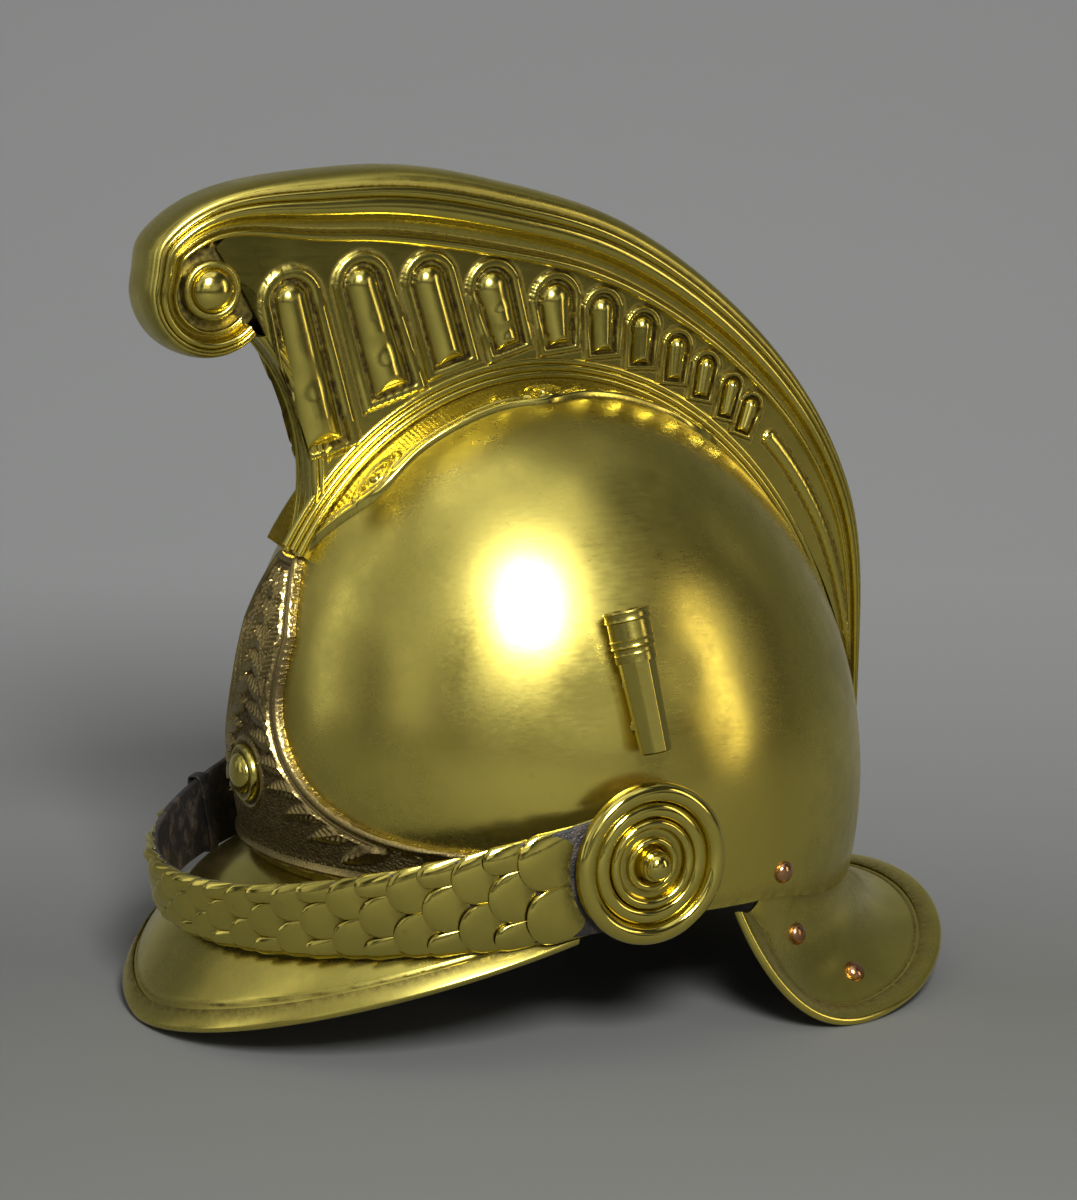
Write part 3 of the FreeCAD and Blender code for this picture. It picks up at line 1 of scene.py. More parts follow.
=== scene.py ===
import json
import math

import bmesh
import bpy
import numpy as np
from mathutils import Matrix, Vector


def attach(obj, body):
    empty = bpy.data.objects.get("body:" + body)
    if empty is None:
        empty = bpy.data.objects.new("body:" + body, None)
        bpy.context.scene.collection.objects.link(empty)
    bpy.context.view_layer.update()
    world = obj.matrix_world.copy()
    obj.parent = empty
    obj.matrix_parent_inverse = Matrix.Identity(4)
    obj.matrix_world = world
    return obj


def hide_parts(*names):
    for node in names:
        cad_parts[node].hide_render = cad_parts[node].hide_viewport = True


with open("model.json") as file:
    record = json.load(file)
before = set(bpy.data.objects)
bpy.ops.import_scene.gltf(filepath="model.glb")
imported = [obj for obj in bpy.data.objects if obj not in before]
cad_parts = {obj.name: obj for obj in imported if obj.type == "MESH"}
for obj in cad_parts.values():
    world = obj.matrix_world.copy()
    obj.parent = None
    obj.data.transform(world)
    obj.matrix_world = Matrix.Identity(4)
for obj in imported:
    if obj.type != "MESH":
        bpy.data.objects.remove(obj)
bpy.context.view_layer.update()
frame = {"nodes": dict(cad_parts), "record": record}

bl_info = {
    "name": "Brass fire helmet",
    "version": (1, 0, 0),
    "blender": (4, 5, 0),
    "location": "3D View > Sidebar > Helmet",
    "description": "Detailed surfaces and finishes of a crested brass fire helmet over its packed frame",
    "category": "Object",
}

# Sizes below are in millimetres and angles in degrees; put_mesh writes metres.
MM = 0.001

# Materials by short name, filled by the finishes operator.
FINISHES = {}

# Meshes, in metres and degrees: doubles that merge, edges that dissolve, and angles that stay sharp.
WELD_REACH = 2e-6
SHORTEST_EDGE = 1e-6
SHARP_ANGLE = 42.0

# Skull: half width, half length and half height of its ellipsoid, its middle and its lower edge.
SKULL_HALF = (95.0, 115.0, 135.0)
SKULL_MID_Z = 80.6
SKULL_MID_Y = 5.5
SKULL_LEAN = 0.08
SKULL_WALL = 1.0
EDGE_FRONT, EDGE_EAR, EDGE_REAR = 53.0, 46.0, 40.0
EDGE_STEP = 0.35
BRIM_END = 72.0

# Dents: x, y and z of each, its reach, and its depth where the deepest is as deep as DENT_UNIT, in metres.
SKULL_DENTS = (
    (89.0, -24.0, 118.0, 9.0, 0.55), (85.0, 6.0, 126.0, 7.0, 0.5), (60.0, 2.0, 183.0, 8.0, 0.35),
    (57.0, 12.0, 186.0, 4.0, 0.3), (94.0, 4.0, 96.0, 10.0, 0.4), (40.0, -88.0, 130.0, 12.0, 0.3),
    (88.0, 20.0, 104.0, 12.0, 0.45), (-80.0, 30.0, 128.0, 10.0, 0.5), (-70.0, -40.0, 150.0, 8.0, 0.35),
)
DENT_UNIT = 0.0005

# Brims: sheet, collar inside the skull, rims in plan, their wrap round the skull, and engraved lines.
SHEET = 1.2
COLLAR_HEIGHT = 12.0
COLLAR_ROWS = 6
SEAT_GAP = 0.1
COVER_GAP = 0.25
BRIM_COLUMNS = 181
PEAK_HALF, PEAK_DEPTH, PEAK_MID_Y = 96.0, 111.0, -38.5
PEAK_WRAP, PEAK_RISE, PEAK_SAG, PEAK_LINE = 0.77, 0.75, -0.09, 8.2
NAPE_HALF, NAPE_DEPTH, NAPE_MID_Y = 97.0, 85.0, 66.5
NAPE_WRAP, NAPE_REAR, NAPE_RISE, NAPE_SAG, NAPE_LINE = 0.636, 2.2, 2.6, 0.20, 8.0
NAPE_REAR_Z = 22.0
NAPE_LOBE = 80.0
LINE_WIDTH, LINE_DEPTH = 0.55, 0.4
BRIM_DROP = 3.0
BINDING_REACH = 6.0
BINDING_SHARE = 0.42
BINDING_GAP = 0.2
BINDING_SHEET = 0.8
RIM_LIFT = SHEET + BINDING_GAP + BINDING_SHEET

# Crest: the scroll, the spine from the scroll to the tail in shares, and the cornice's section along it.
VOLUTE = np.array([0.0, -129.0, 250.0])
VOLUTE_RADIUS = 23.0
VOLUTE_END, VOLUTE_TOP = 316.0, 165.0
SCROLL_SHARE = 0.17
CREST_TOP_Z = 290.0
TAIL_Y, TAIL_Z = 131.5, 72.0
SPINE_SHARES = np.array([
    (-0.080, 0.883), (-0.056, 0.919), (-0.0165, 0.951),
    (0.036, 0.974), (0.132, 0.992), (0.270, 1.000), (0.416, 0.973), (0.566, 0.923), (0.693, 0.841),
    (0.804, 0.736), (0.889, 0.625), (0.947, 0.514), (0.978, 0.420), (0.993, 0.320), (0.998, 0.190),
    (1.000, 0.000),
])
CORNICE_DEPTH = 26.0
CORNICE_HALF = 12.5
DEPTH_SHARES = (0.36, 0.38, 0.44, 0.54, 0.92, 1.04, 0.98, 0.88, 0.74, 0.60, 0.44, 0.30, 0.20, 0.14)
WIDTH_SHARES = (0.84, 0.88, 0.94, 1.00, 1.00, 0.97, 0.92, 0.84, 0.74, 0.64, 0.54, 0.44, 0.36, 0.26)

# Web and foot: half widths, the flange, the hollow front strip, and the gadroons' places in shares.
WEB_FRONT, WEB_REAR = 7.2, 3.4
FLANGE_SHEET = 1.2
FOOT_LIFT = 8.8
STRIP_FOOT = (-96.5, 159.2)
STRIP_WAIST = (-92.5, 192.0)
STRIP_DEPTH = 4.5
GADROON_TOPS = (0.036, 0.109, 0.180, 0.248, 0.322, 0.378, 0.429, 0.475, 0.516, 0.554, 0.586, 0.625)
GADROON_FEET = (0.071, 0.167, 0.237, 0.303, 0.359, 0.409, 0.455, 0.498, 0.535, 0.572, 0.599, 0.637)
FLANGE_EYES = (0.12, 0.42, 0.74)

# Crest's grids: steps along the scroll's arc, the rows where the spine takes over, and stations.
ARC_STEPS = 200
SPINE_STARTS = (152, 176, 199)
CREST_STEPS = 460
WEB_START = 2 / 21

# Crest's small forms: the band's crown, the scroll's ball, the flange's edge and its eyes.
CROWN_HALF, CROWN_RISE, CROWN_POWER = 0.965, 0.235, 0.85
CROWN_BACK, CROWN_BACK_DEPTH = 0.90, 0.262
BALL_RADIUS, BALL_SEAT, BALL_HEIGHT = 7.3, 10.4, 4.1
FOOT_STEPS = 300
FOOT_START, FOOT_TAPER, FOOT_FLAT = 2.0, 0.55, 0.45
WEB_FRONT_STEPS, WEB_TAIL_STEPS, WEB_HIGH_STEPS = 60, 110, 112
WEB_LOW, WEB_HIGH = -0.10, 1.05
WEB_WALL = 1.0
HOLLOW_RADIUS = 8.4
HIDDEN_STEPS = 16
GADROON_WIDTH_SHARE = 0.90
GADROON_FOOT_CLEAR, GADROON_TOP_CLEAR = (0.8, 4.0), (1.2, 9.0)
FIRST_CLEAR_SHARE = 0.3
FRAME_SHARE, FRAME_EDGE_SHARE, FRAME_HEIGHT = 0.080, 0.24, 0.95
GROOVE_SHARE = 1.45
GROOVE_DEPTH = 0.6
DENTED_RIBS = (0, 1, 3)
TAIL_RIB_END, TAIL_RIB_STEPS = 0.93, 60
TAIL_RIB_HALF, TAIL_RIB_END_HALF, TAIL_RIB_HEIGHT = 2.6, 0.3, 1.3
STRIP_STEPS = 90
FLANGE_HALF, FLANGE_INNER = 27.0, 2.6
FLANGE_WAVE, FLANGE_WAVE_REACH = 3.0, 0.055
EYE_INSET = 6.4

# Front plate: heights of its foot, wings, neck and top, and half widths of its wings and neck; laurel; boss.
PLATE_Z = (56.0, 70.0, 118.0, 159.0)
PLATE_HALF = (82.0, 19.0)
PLATE_SHEET = 1.6
PLATE_SEAT = 0.08
OUTLINE_STEPS, OUTLINE_SLICES = 900, 12
PLATE_END_STEPS = 14
BORDER_HALF = 1.6
STEM_TOP, STEM_RUN, STEM_HALF, STEM_HEIGHT = (5.0, 146.0), (62.0, 77.0), 1.0, 1.1
LEAF_NODES = 12
LEAF_SETS = ((-42.0, 18.0), (40.0, 17.0), (-6.0, 13.0))
LEAF_OFFSET = 8.2
BERRY_OFFSET, BERRY_RADIUS, BERRY_HEIGHT = 3.8, 1.5, 1.7
BOSS_Z = 84.0
BOSS_RING, BOSS_CLEAR = 12.0, 13.5
BOSS_DOME, BOSS_SEAT, BOSS_RISE = 7.2, 2.0, 3.6

# Chinstrap: its loop about the pivots, the leather, the rosettes and knobs, the tongue, keeper and scales.
PIVOT = np.array([0.0, -9.5, 68.0])
STRAP_HALF = 99.0
STRAP_REACH = 129.0
STRAP_DROOP = 10.7
STRAP_LEATHER = 2.4
STRAP_WIDTHS = (42.0, 21.0)
LEATHER_EDGE = 0.7
ROSETTE_RADIUS = 27.5
ROSETTE_SEAT = 101.7
KNOB_RADIUS, KNOB_SEAT, KNOB_RISE = 4.6, 0.9, 3.4
KNOB_LIFT = 4.8
SEAM_TURN = 5 * 90.0 / 14
SEAM_GAP_TURN = 0.06
TONGUE_TURNS = (-28.5, -51.2)
TONGUE_TIP_TURN, TONGUE_TIP_RUN = 51.4, 4.6
TONGUE_HALF, TONGUE_MIDDLE, TONGUE_THICK_HALF = 5.9, 3.3, 0.78
KEEPER_TURN = -46.0
KEEPER_HALF, KEEPER_ROOM, KEEPER_THICK_HALF = 2.45, 0.75, 0.46
KEEPER_MIDDLE, KEEPER_DEPTH_HALF = 2.05, 2.75
SCALE_ROWS, FAR_SCALE_ROWS = 21, 4
SCALE_PITCH, SCALE_FALL, SCALE_LAP = 11.2, 0.98, 5.0
SCALE_SHEET, SCALE_SEAT, SCALE_CLIMB = 0.7, 2.5, 0.9
SCALE_BEND = 115.0
MIDDLE_LOBE_SHARE = 0.48

# Plume socket: y and z of its top and foot, radii, bore and the saddles' shares of its length.
SOCKET_TOP, SOCKET_FOOT = (-15.0, 151.0), (-8.0, 105.0)
SOCKET_TOP_RADIUS, SOCKET_FOOT_RADIUS = 7.0, 5.4
SOCKET_STAND_OFF = 2.6
SOCKET_BORE, SOCKET_BORE_DEPTH = 4.5, 38.0
SADDLE_SHARES = (0.16, 0.46)

# Rivets: turns from the back on the skull; turns and shares of the guard's depth on the guard.
SKULL_RIVETS = (67.0, 10.0)
GUARD_RIVETS = ((60.0, 0.30), (45.0, 0.63))
RIVET_RADIUS, RIVET_HEIGHT, RIVET_SHANK, RIVET_REACH = 3.9, 2.7, 1.6, 2.4

# Lining: the headband's heights and its insets from the skull, and the tongues.
BAND_Z = (50.0, 86.0)
BAND_OUTER, BAND_INNER = 2.95, 4.95
TONGUES = 8
TONGUE_INSETS = (0.75, 2.35)
TONGUE_HALF_TURN = 12.0
TONGUE_LOW_Z, TONGUE_TOP_Z, TONGUE_TOP_SHARE = 72.0, 186.0, 0.22


def skull_surface(angle, z, grow=0.0):
    """Points of the skull: an ellipse at each height, whose axis leans a little forward with the height."""
    a, b, h = (v + grow for v in SKULL_HALF)
    t = np.sqrt(np.clip(1 - ((z - SKULL_MID_Z) / h) ** 2, 0, None))
    turn = np.radians(angle)
    y = axis_y(z) - b * t * np.cos(turn)
    return np.stack(np.broadcast_arrays(a * t * np.sin(turn), y, z), -1)


def axis_y(z):
    """Middle of the skull's ellipse at a height."""
    return SKULL_MID_Y - SKULL_LEAN * (z - SKULL_MID_Z)


def skull_top(x, y, grow=0.0):
    """Height of the skull over a point of its plan: the upper root of the ellipsoid's equation in z."""
    a, b, h = (v + grow for v in SKULL_HALF)
    run = y - SKULL_MID_Y
    q = 1 / h ** 2 + SKULL_LEAN ** 2 / b ** 2
    p = SKULL_LEAN * run / b ** 2
    c = (x / a) ** 2 + (run / b) ** 2 - 1
    return SKULL_MID_Z + (-p + np.sqrt(np.clip(p * p - q * c, 0, None))) / q


def skull_front(x, z, grow=0.0):
    """Front of the skull at a height and a distance to the side."""
    a, b, h = (v + grow for v in SKULL_HALF)
    t = np.sqrt(np.clip(1 - ((z - SKULL_MID_Z) / h) ** 2, 1e-9, None))
    return axis_y(z) - b * t * np.sqrt(np.clip(1 - (x / (a * t)) ** 2, 0, None))


def skull_side(y, z):
    """Half width of the skull at a height and a distance along it."""
    a, b, h = SKULL_HALF
    t = np.sqrt(1 - ((z - SKULL_MID_Z) / h) ** 2)
    return a * t * np.sqrt(1 - ((y - axis_y(z)) / (b * t)) ** 2)


def skull_normal(p):
    """Outward direction of the skull at points, from the gradient of its equation."""
    slope = (p[..., 1] - axis_y(p[..., 2])) / SKULL_HALF[1] ** 2
    rise = (p[..., 2] - SKULL_MID_Z) / SKULL_HALF[2] ** 2
    return unit(np.stack([p[..., 0] / SKULL_HALF[0] ** 2, slope, rise + SKULL_LEAN * slope], -1))


def edge_height(angle):
    """Height of the skull's lower edge: high in front, arched over the ears, low behind."""
    off = np.abs((angle + 180.0) % 360.0 - 180.0)
    share = np.clip(1 - np.minimum(off, 180.0 - off) / BRIM_END, 0, 1)
    front = EDGE_EAR + (EDGE_FRONT - EDGE_EAR) * np.sin(np.pi / 2 * share)
    step = np.clip(share / EDGE_STEP, 0, 1)
    rear = EDGE_EAR + (EDGE_REAR - EDGE_EAR) * step * step * (3 - 2 * step)
    return np.where(off < 90.0, front, rear)


def unit(v):
    """Vectors of length one in the same directions."""
    return v / np.maximum(np.linalg.norm(v, axis=-1, keepdims=True), 1e-12)


def surface_normals(p):
    """Normals of a grid of points: the cross product of its two differences."""
    return unit(np.cross(np.gradient(p, axis=0), np.gradient(p, axis=1)))


def smooth_line(values, width):
    """A moving average that keeps the ends."""
    values = np.asarray(values, float)
    half = width // 2
    pad = np.concatenate([np.repeat(values[:1], half, 0), values, np.repeat(values[-1:], half, 0)])
    total = np.cumsum(np.concatenate([np.zeros_like(pad[:1]), pad]), axis=0)
    size = 2 * half + 1
    return (total[size:] - total[:-size]) / size


def resample(points, count):
    """The same line as count points that lie evenly along it."""
    run = np.r_[0, np.cumsum(np.linalg.norm(np.diff(points, axis=0), axis=1))]
    stops = np.linspace(0, run[-1], count)
    return np.stack([np.interp(stops, run, points[:, k]) for k in range(points.shape[1])], -1)


def along_line(points, shares):
    """Points at shares of the length of a line."""
    run = np.r_[0, np.cumsum(np.linalg.norm(np.diff(points, axis=0), axis=1))]
    stops = np.asarray(shares) * run[-1]
    return np.stack([np.interp(stops, run, points[:, k]) for k in range(points.shape[1])], -1)


def natural_curve(points, count):
    """A cubic through the points that bends like a thin strip: its second derivatives solve a tridiagonal
    system."""
    t = np.r_[0, np.cumsum(np.linalg.norm(np.diff(points, axis=0), axis=1))]
    n, h = len(t), np.diff(t)
    left = np.eye(n)
    right = np.zeros_like(points)
    k = np.arange(1, n - 1)
    left[k, k - 1], left[k, k], left[k, k + 1] = h[:-1], 2 * (h[:-1] + h[1:]), h[1:]
    slopes = np.diff(points, axis=0) / h[:, None]
    right[1:-1] = 6 * np.diff(slopes, axis=0)
    m = np.linalg.solve(left, right)
    s = np.linspace(0, t[-1], count * 4)
    i = np.clip(np.searchsorted(t, s, side="right") - 1, 0, n - 2)
    a, b, w = (t[i + 1] - s)[:, None], (s - t[i])[:, None], h[i][:, None]
    curve = (m[i] * a ** 3 + m[i + 1] * b ** 3) / (6 * w)
    curve += (points[i] / w - m[i] * w / 6) * a + (points[i + 1] / w - m[i + 1] * w / 6) * b
    return resample(curve, count)


def moulding(nodes, bulges, steps=9):
    """An outline through nodes, each run bowed to its right into half an ellipse whose rise is the bulge
    times the run. The second result is 1 in the valleys beside raised runs and 0 elsewhere."""
    points, valley = [], []
    for a, b, bulge in zip(nodes[:-1], nodes[1:], bulges):
        a, b = np.array(a, float), np.array(b, float)
        count = steps if bulge else 1
        s = np.arange(count) / count
        t = (1 - np.cos(np.pi * s)) / 2 if bulge else s
        across = np.array([b[1] - a[1], a[0] - b[0]])
        points.append(a + (b - a) * t[:, None] + across * (bulge * np.sin(np.pi * s))[:, None])
        valley.append(np.clip(1 - 2.2 * np.sin(np.pi * s), 0, 1) if bulge > 0 else np.full(count, 0.35))
    points.append(np.array([nodes[-1]], float))
    valley.append(np.array([0.35]))
    return np.concatenate(points), np.concatenate(valley)


class Surface:
    """Collects grids of points, and makes one closed mesh of them."""

    def __init__(self):
        self.points, self.faces, self.grime, self.count = [], [], [], 0

    def grid(self, p, closed_u=False, closed_v=False, grime=0.0):
        """Adds a grid of nu by nv points as quads; a closed direction joins its last row to its first."""
        nu, nv = p.shape[:2]
        u, v = np.meshgrid(np.arange(nu - (not closed_u)), np.arange(nv - (not closed_v)), indexing="ij")
        u1, v1 = (u + 1) % nu, (v + 1) % nv
        quads = np.stack([u * nv + v, u1 * nv + v, u1 * nv + v1, u * nv + v1], -1).reshape(-1, 4)
        self.faces += (quads + self.count).tolist()
        self.points.append(p.reshape(-1, 3))
        self.grime.append(np.broadcast_to(grime, (nu, nv)).reshape(-1))
        self.count += nu * nv
        return self

    def cap(self, ring):
        """Adds one flat face over a ring of points."""
        self.faces.append(list(range(self.count, self.count + len(ring))))
        self.points.append(np.asarray(ring))
        self.grime.append(np.zeros(len(ring)))
        self.count += len(ring)
        return self

    def shell(self, outer, inner, closed_u=False, grime=0.0):
        """Adds a thin sheet between two grids of the same shape, closed along its edges."""
        # The inner face takes a fixed 0.3 of the dark mix: painted shade on the inside of each sheet.
        self.grid(outer, closed_u, grime=grime).grid(inner, closed_u, grime=0.3)
        self.grid(np.stack([outer[:, 0], inner[:, 0]], 1), closed_u)
        self.grid(np.stack([outer[:, -1], inner[:, -1]], 1), closed_u)
        if not closed_u:
            self.grid(np.stack([outer[0], inner[0]], 1))
            self.grid(np.stack([outer[-1], inner[-1]], 1))
        return self

    def sweep(self, rings, grime=0.0):
        """Adds a closed outline carried along a path, with a flat face at each end."""
        return self.grid(rings, closed_v=True, grime=grime).cap(rings[0]).cap(rings[-1])

    def lathe(self, base, axis, profile, sides=64, grime=0.0):
        """Adds a turned body: each profile row is a radius and a distance along the axis."""
        axis = unit(np.asarray(axis, float))
        u = unit(np.cross(axis, [0, 0, 1] if abs(axis[2]) < 0.9 else [0, 1, 0]))
        v = np.cross(axis, u)
        turn = np.linspace(0, 2 * np.pi, sides, endpoint=False)[:, None, None]
        r, d = profile[None, :, 0, None], profile[None, :, 1, None]
        p = np.asarray(base) + axis * d + (u * np.cos(turn) + v * np.sin(turn)) * r
        return self.grid(p, closed_u=True, grime=np.broadcast_to(grime, p.shape[:2]))


def put_mesh(name, surface, finish, replaces, body="helmet"):
    """Writes a surface into a mesh in metres, merges its doubles and turns its faces outwards. The piece
    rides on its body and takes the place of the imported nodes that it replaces."""
    mesh = bpy.data.meshes.new(name)
    mesh.from_pydata((np.concatenate(surface.points) * MM).tolist(), [], surface.faces)
    # Per-point mask for the finishes' dark mix: painted shade in recesses and under parts, partly standing
    # for dirt.
    layer = mesh.attributes.new("grime", "FLOAT", "POINT")
    layer.data.foreach_set("value", np.concatenate(surface.grime).astype(np.float32))
    work = bmesh.new()
    work.from_mesh(mesh)
    bmesh.ops.remove_doubles(work, verts=work.verts, dist=WELD_REACH)
    bmesh.ops.dissolve_degenerate(work, edges=work.edges, dist=SHORTEST_EDGE)
    bmesh.ops.recalc_face_normals(work, faces=work.faces)
    work.to_mesh(mesh)
    work.free()
    mesh.polygons.foreach_set("use_smooth", np.ones(len(mesh.polygons), bool))
    mesh.set_sharp_from_angle(angle=math.radians(SHARP_ANGLE))
    mesh.materials.append(FINISHES[finish])
    piece = bpy.data.objects.new(name, mesh)
    bpy.context.scene.collection.objects.link(piece)
    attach(piece, body)
    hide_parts(*replaces)
    return piece


def mirrored(p):
    """The same points on the other side of the helmet."""
    return p * np.array([-1.0, 1.0, 1.0])


def dome_profile(radius, height, steps=9, foot=0.0):
    """A rounded head: a quarter ellipse from its rim to its pole, over a short straight foot."""
    a = np.linspace(0, np.pi / 2, steps)
    rows = np.stack([radius * np.cos(a), foot + (height - foot) * np.sin(a)], -1)
    rows[-1, 0] = 0.0
    return np.concatenate([[[radius, 0.0]], rows]) if foot else rows


# Finishes

def new_group(name, inputs, outputs):
    """An empty shader group with its sockets."""
    tree = bpy.data.node_groups.new(name, "ShaderNodeTree")
    for label, kind, value in inputs:
        socket = tree.interface.new_socket(name=label, in_out="INPUT", socket_type=kind)
        socket.default_value = value
    for label, kind in outputs:
        tree.interface.new_socket(name=label, in_out="OUTPUT", socket_type=kind)
    return tree


class Nodes:
    """Short calls that add nodes to a tree and set or link their sockets."""

    def __init__(self, tree):
        self.tree = tree

    def add(self, kind, sockets=None, **settings):
        node = self.tree.nodes.new(kind)
        for key, value in settings.items():
            setattr(node, key, value)
        for key, value in (sockets or {}).items():
            if isinstance(value, bpy.types.NodeSocket):
                self.tree.links.new(value, node.inputs[key])
            else:
                node.inputs[key].default_value = value
        return node

    def noise(self, vector, scale, detail=4.0, rough=0.55):
        node = self.add("ShaderNodeTexNoise",
                        {"Vector": vector, "Scale": scale, "Detail": detail, "Roughness": rough})
        return node.outputs["Fac"]

    def span(self, value, low, high, to_low=0.0, to_high=1.0):
        node = self.add("ShaderNodeMapRange", {"Value": value, "From Min": low, "From Max": high,
                                               "To Min": to_low, "To Max": to_high})
        return node.outputs["Result"]

    def mix(self, share, a, b):
        node = self.add("ShaderNodeMix", {0: share, 6: a, 7: b}, data_type="RGBA")
        return node.outputs[2]

    def math(self, operation, a, b=0.0, clamp=False):
        node = self.add("ShaderNodeMath", {0: a, 1: b}, operation=operation, use_clamp=clamp)
        return node.outputs[0]


def patina_group():
    """Old polished metal: clouds of tarnish, spots, fine rubbing marks, and a dark colour where the per-point
    mask is high, partly dirt and partly painted shade in recesses and under parts.
    """
    tree = new_group("tarnished_metal", [
        ("Clean", "NodeSocketColor", (0.8, 0.6, 0.2, 1)),
        ("Tarnish", "NodeSocketColor", (0.5, 0.35, 0.1, 1)),
        ("Dirt and shade", "NodeSocketColor", (0.05, 0.035, 0.02, 1)),
        ("Tarnish Share", "NodeSocketFloat", 0.5),
        ("Dirt and shade share", "NodeSocketFloat", 0.9),
        ("Polish", "NodeSocketFloat", 0.16),
    ], [("Color", "NodeSocketColor"), ("Roughness", "NodeSocketFloat"), ("Height", "NodeSocketFloat")])
    n = Nodes(tree)
    given = n.add("NodeGroupInput").outputs
    place = n.add("ShaderNodeTexCoord").outputs["Object"]
    clouds = n.noise(place, 14.0, 5.0, 0.6)
    patches = n.noise(place, 47.0, 6.0, 0.68)
    both = n.math("ADD", n.math("MULTIPLY", clouds, 0.65), n.math("MULTIPLY", patches, 0.35))
    aged = n.math("MULTIPLY", n.span(both, 0.42, 0.62), given["Tarnish Share"])
    spots = n.span(n.noise(place, 210.0, 3.0, 0.5), 0.66, 0.74)
    aged = n.math("ADD", aged, n.math("MULTIPLY", spots, 0.25), clamp=True)
    # Painted shade: the per-point mask is high in recesses, creases, under parts and on inner faces, and it
    # mixes in the dark colour, partly as dirt and partly as shade.
    shade_and_grime_value = n.add("ShaderNodeAttribute", attribute_name="grime").outputs["Fac"]
    broken = n.span(n.noise(place, 420.0, 4.0, 0.7), 0.30, 0.62, 0.55, 1.15)
    dirt_and_shade = n.math("MULTIPLY", n.math("MULTIPLY", shade_and_grime_value, broken), given["Dirt and shade share"], clamp=True)
    color = n.mix(aged, given["Clean"], given["Tarnish"])
    color = n.mix(dirt_and_shade, color, given["Dirt and shade"])
    rub = n.add("ShaderNodeMapping", {"Vector": place, "Scale": (900.0, 130.0, 900.0)}).outputs[0]
    marks = n.noise(rub, 1.0, 3.0, 0.6)
    rough = n.math("ADD", given["Polish"], n.math("MULTIPLY", aged, 0.12))
    rough = n.math("ADD", rough, n.math("MULTIPLY", n.math("SUBTRACT", marks, 0.5), 0.09))
    rough = n.math("ADD", rough, n.math("MULTIPLY", dirt_and_shade, 0.4), clamp=True)
    fine = n.math("ADD", n.math("MULTIPLY", marks, 0.25), n.math("MULTIPLY", dirt_and_shade, -0.6))
    height = n.math("ADD", fine, n.math("MULTIPLY", n.noise(place, 95.0, 2.0, 0.5), 0.5))
    out = n.add("NodeGroupOutput").inputs
    for label, value in (("Color", color), ("Roughness", rough), ("Height", height)):
        tree.links.new(value, out[label])
    return tree


def leather_group():
    """Leather grain: small rounded cells between creases, with worn patches."""
    tree = new_group("leather_grain", [
        ("Hide", "NodeSocketColor", (0.02, 0.02, 0.02, 1)),
        ("Worn", "NodeSocketColor", (0.08, 0.06, 0.05, 1)),
        ("Grain Scale", "NodeSocketFloat", 700.0),
    ], [("Color", "NodeSocketColor"), ("Roughness", "NodeSocketFloat"), ("Height", "NodeSocketFloat")])
    n = Nodes(tree)
    given = n.add("NodeGroupInput").outputs
    place = n.add("ShaderNodeTexCoord").outputs["Object"]
    cells = n.add("ShaderNodeTexVoronoi", {"Vector": place, "Scale": given["Grain Scale"]},
                  feature="DISTANCE_TO_EDGE").outputs["Distance"]
    grain = n.span(cells, 0.0, 0.18)
    creases = n.span(n.noise(place, 60.0, 6.0, 0.7), 0.47, 0.53)
    worn = n.span(n.noise(place, 120.0, 5.0, 0.65), 0.50, 0.68)
    color = n.mix(worn, given["Hide"], given["Worn"])
    rough = n.math("ADD", n.math("MULTIPLY", worn, 0.18), 0.42)
    height = n.math("ADD", n.math("MULTIPLY", grain, 0.5), n.math("MULTIPLY", creases, 0.5))
    out = n.add("NodeGroupOutput").inputs
    for label, value in (("Color", color), ("Roughness", rough), ("Height", height)):
        tree.links.new(value, out[label])
    return tree


def finish_material(name, group, values, metallic, bump, distance, stipple=None):
    """A material whose Principled shader takes colour, roughness and bump from a shared group."""
    material = bpy.data.materials.new(name)
    material.use_nodes = True
    n = Nodes(material.node_tree)
    shader = next(node for node in material.node_tree.nodes if node.type == "BSDF_PRINCIPLED")
    effect = n.add("ShaderNodeGroup", node_tree=group)
    for key, value in values.items():
        effect.inputs[key].default_value = value
    height = effect.outputs["Height"]
    if stipple:
        place = n.add("ShaderNodeTexCoord").outputs["Object"]
        dots = n.add("ShaderNodeTexVoronoi", {"Vector": place, "Scale": stipple[0]}).outputs["Distance"]
        mask = n.add("ShaderNodeAttribute", attribute_name="stipple").outputs["Fac"]
        pits = n.math("MULTIPLY", n.span(dots, 0.15, 0.6), mask)
        height = n.math("ADD", height, n.math("MULTIPLY", pits, stipple[1]))
    raise_node = n.add("ShaderNodeBump", {"Height": height, "Strength": bump, "Distance": distance})
    links = material.node_tree.links
    links.new(effect.outputs["Color"], shader.inputs["Base Color"])
    links.new(effect.outputs["Roughness"], shader.inputs["Roughness"])
    links.new(raise_node.outputs["Normal"], shader.inputs["Normal"])
    shader.inputs["Metallic"].default_value = metallic
    return material


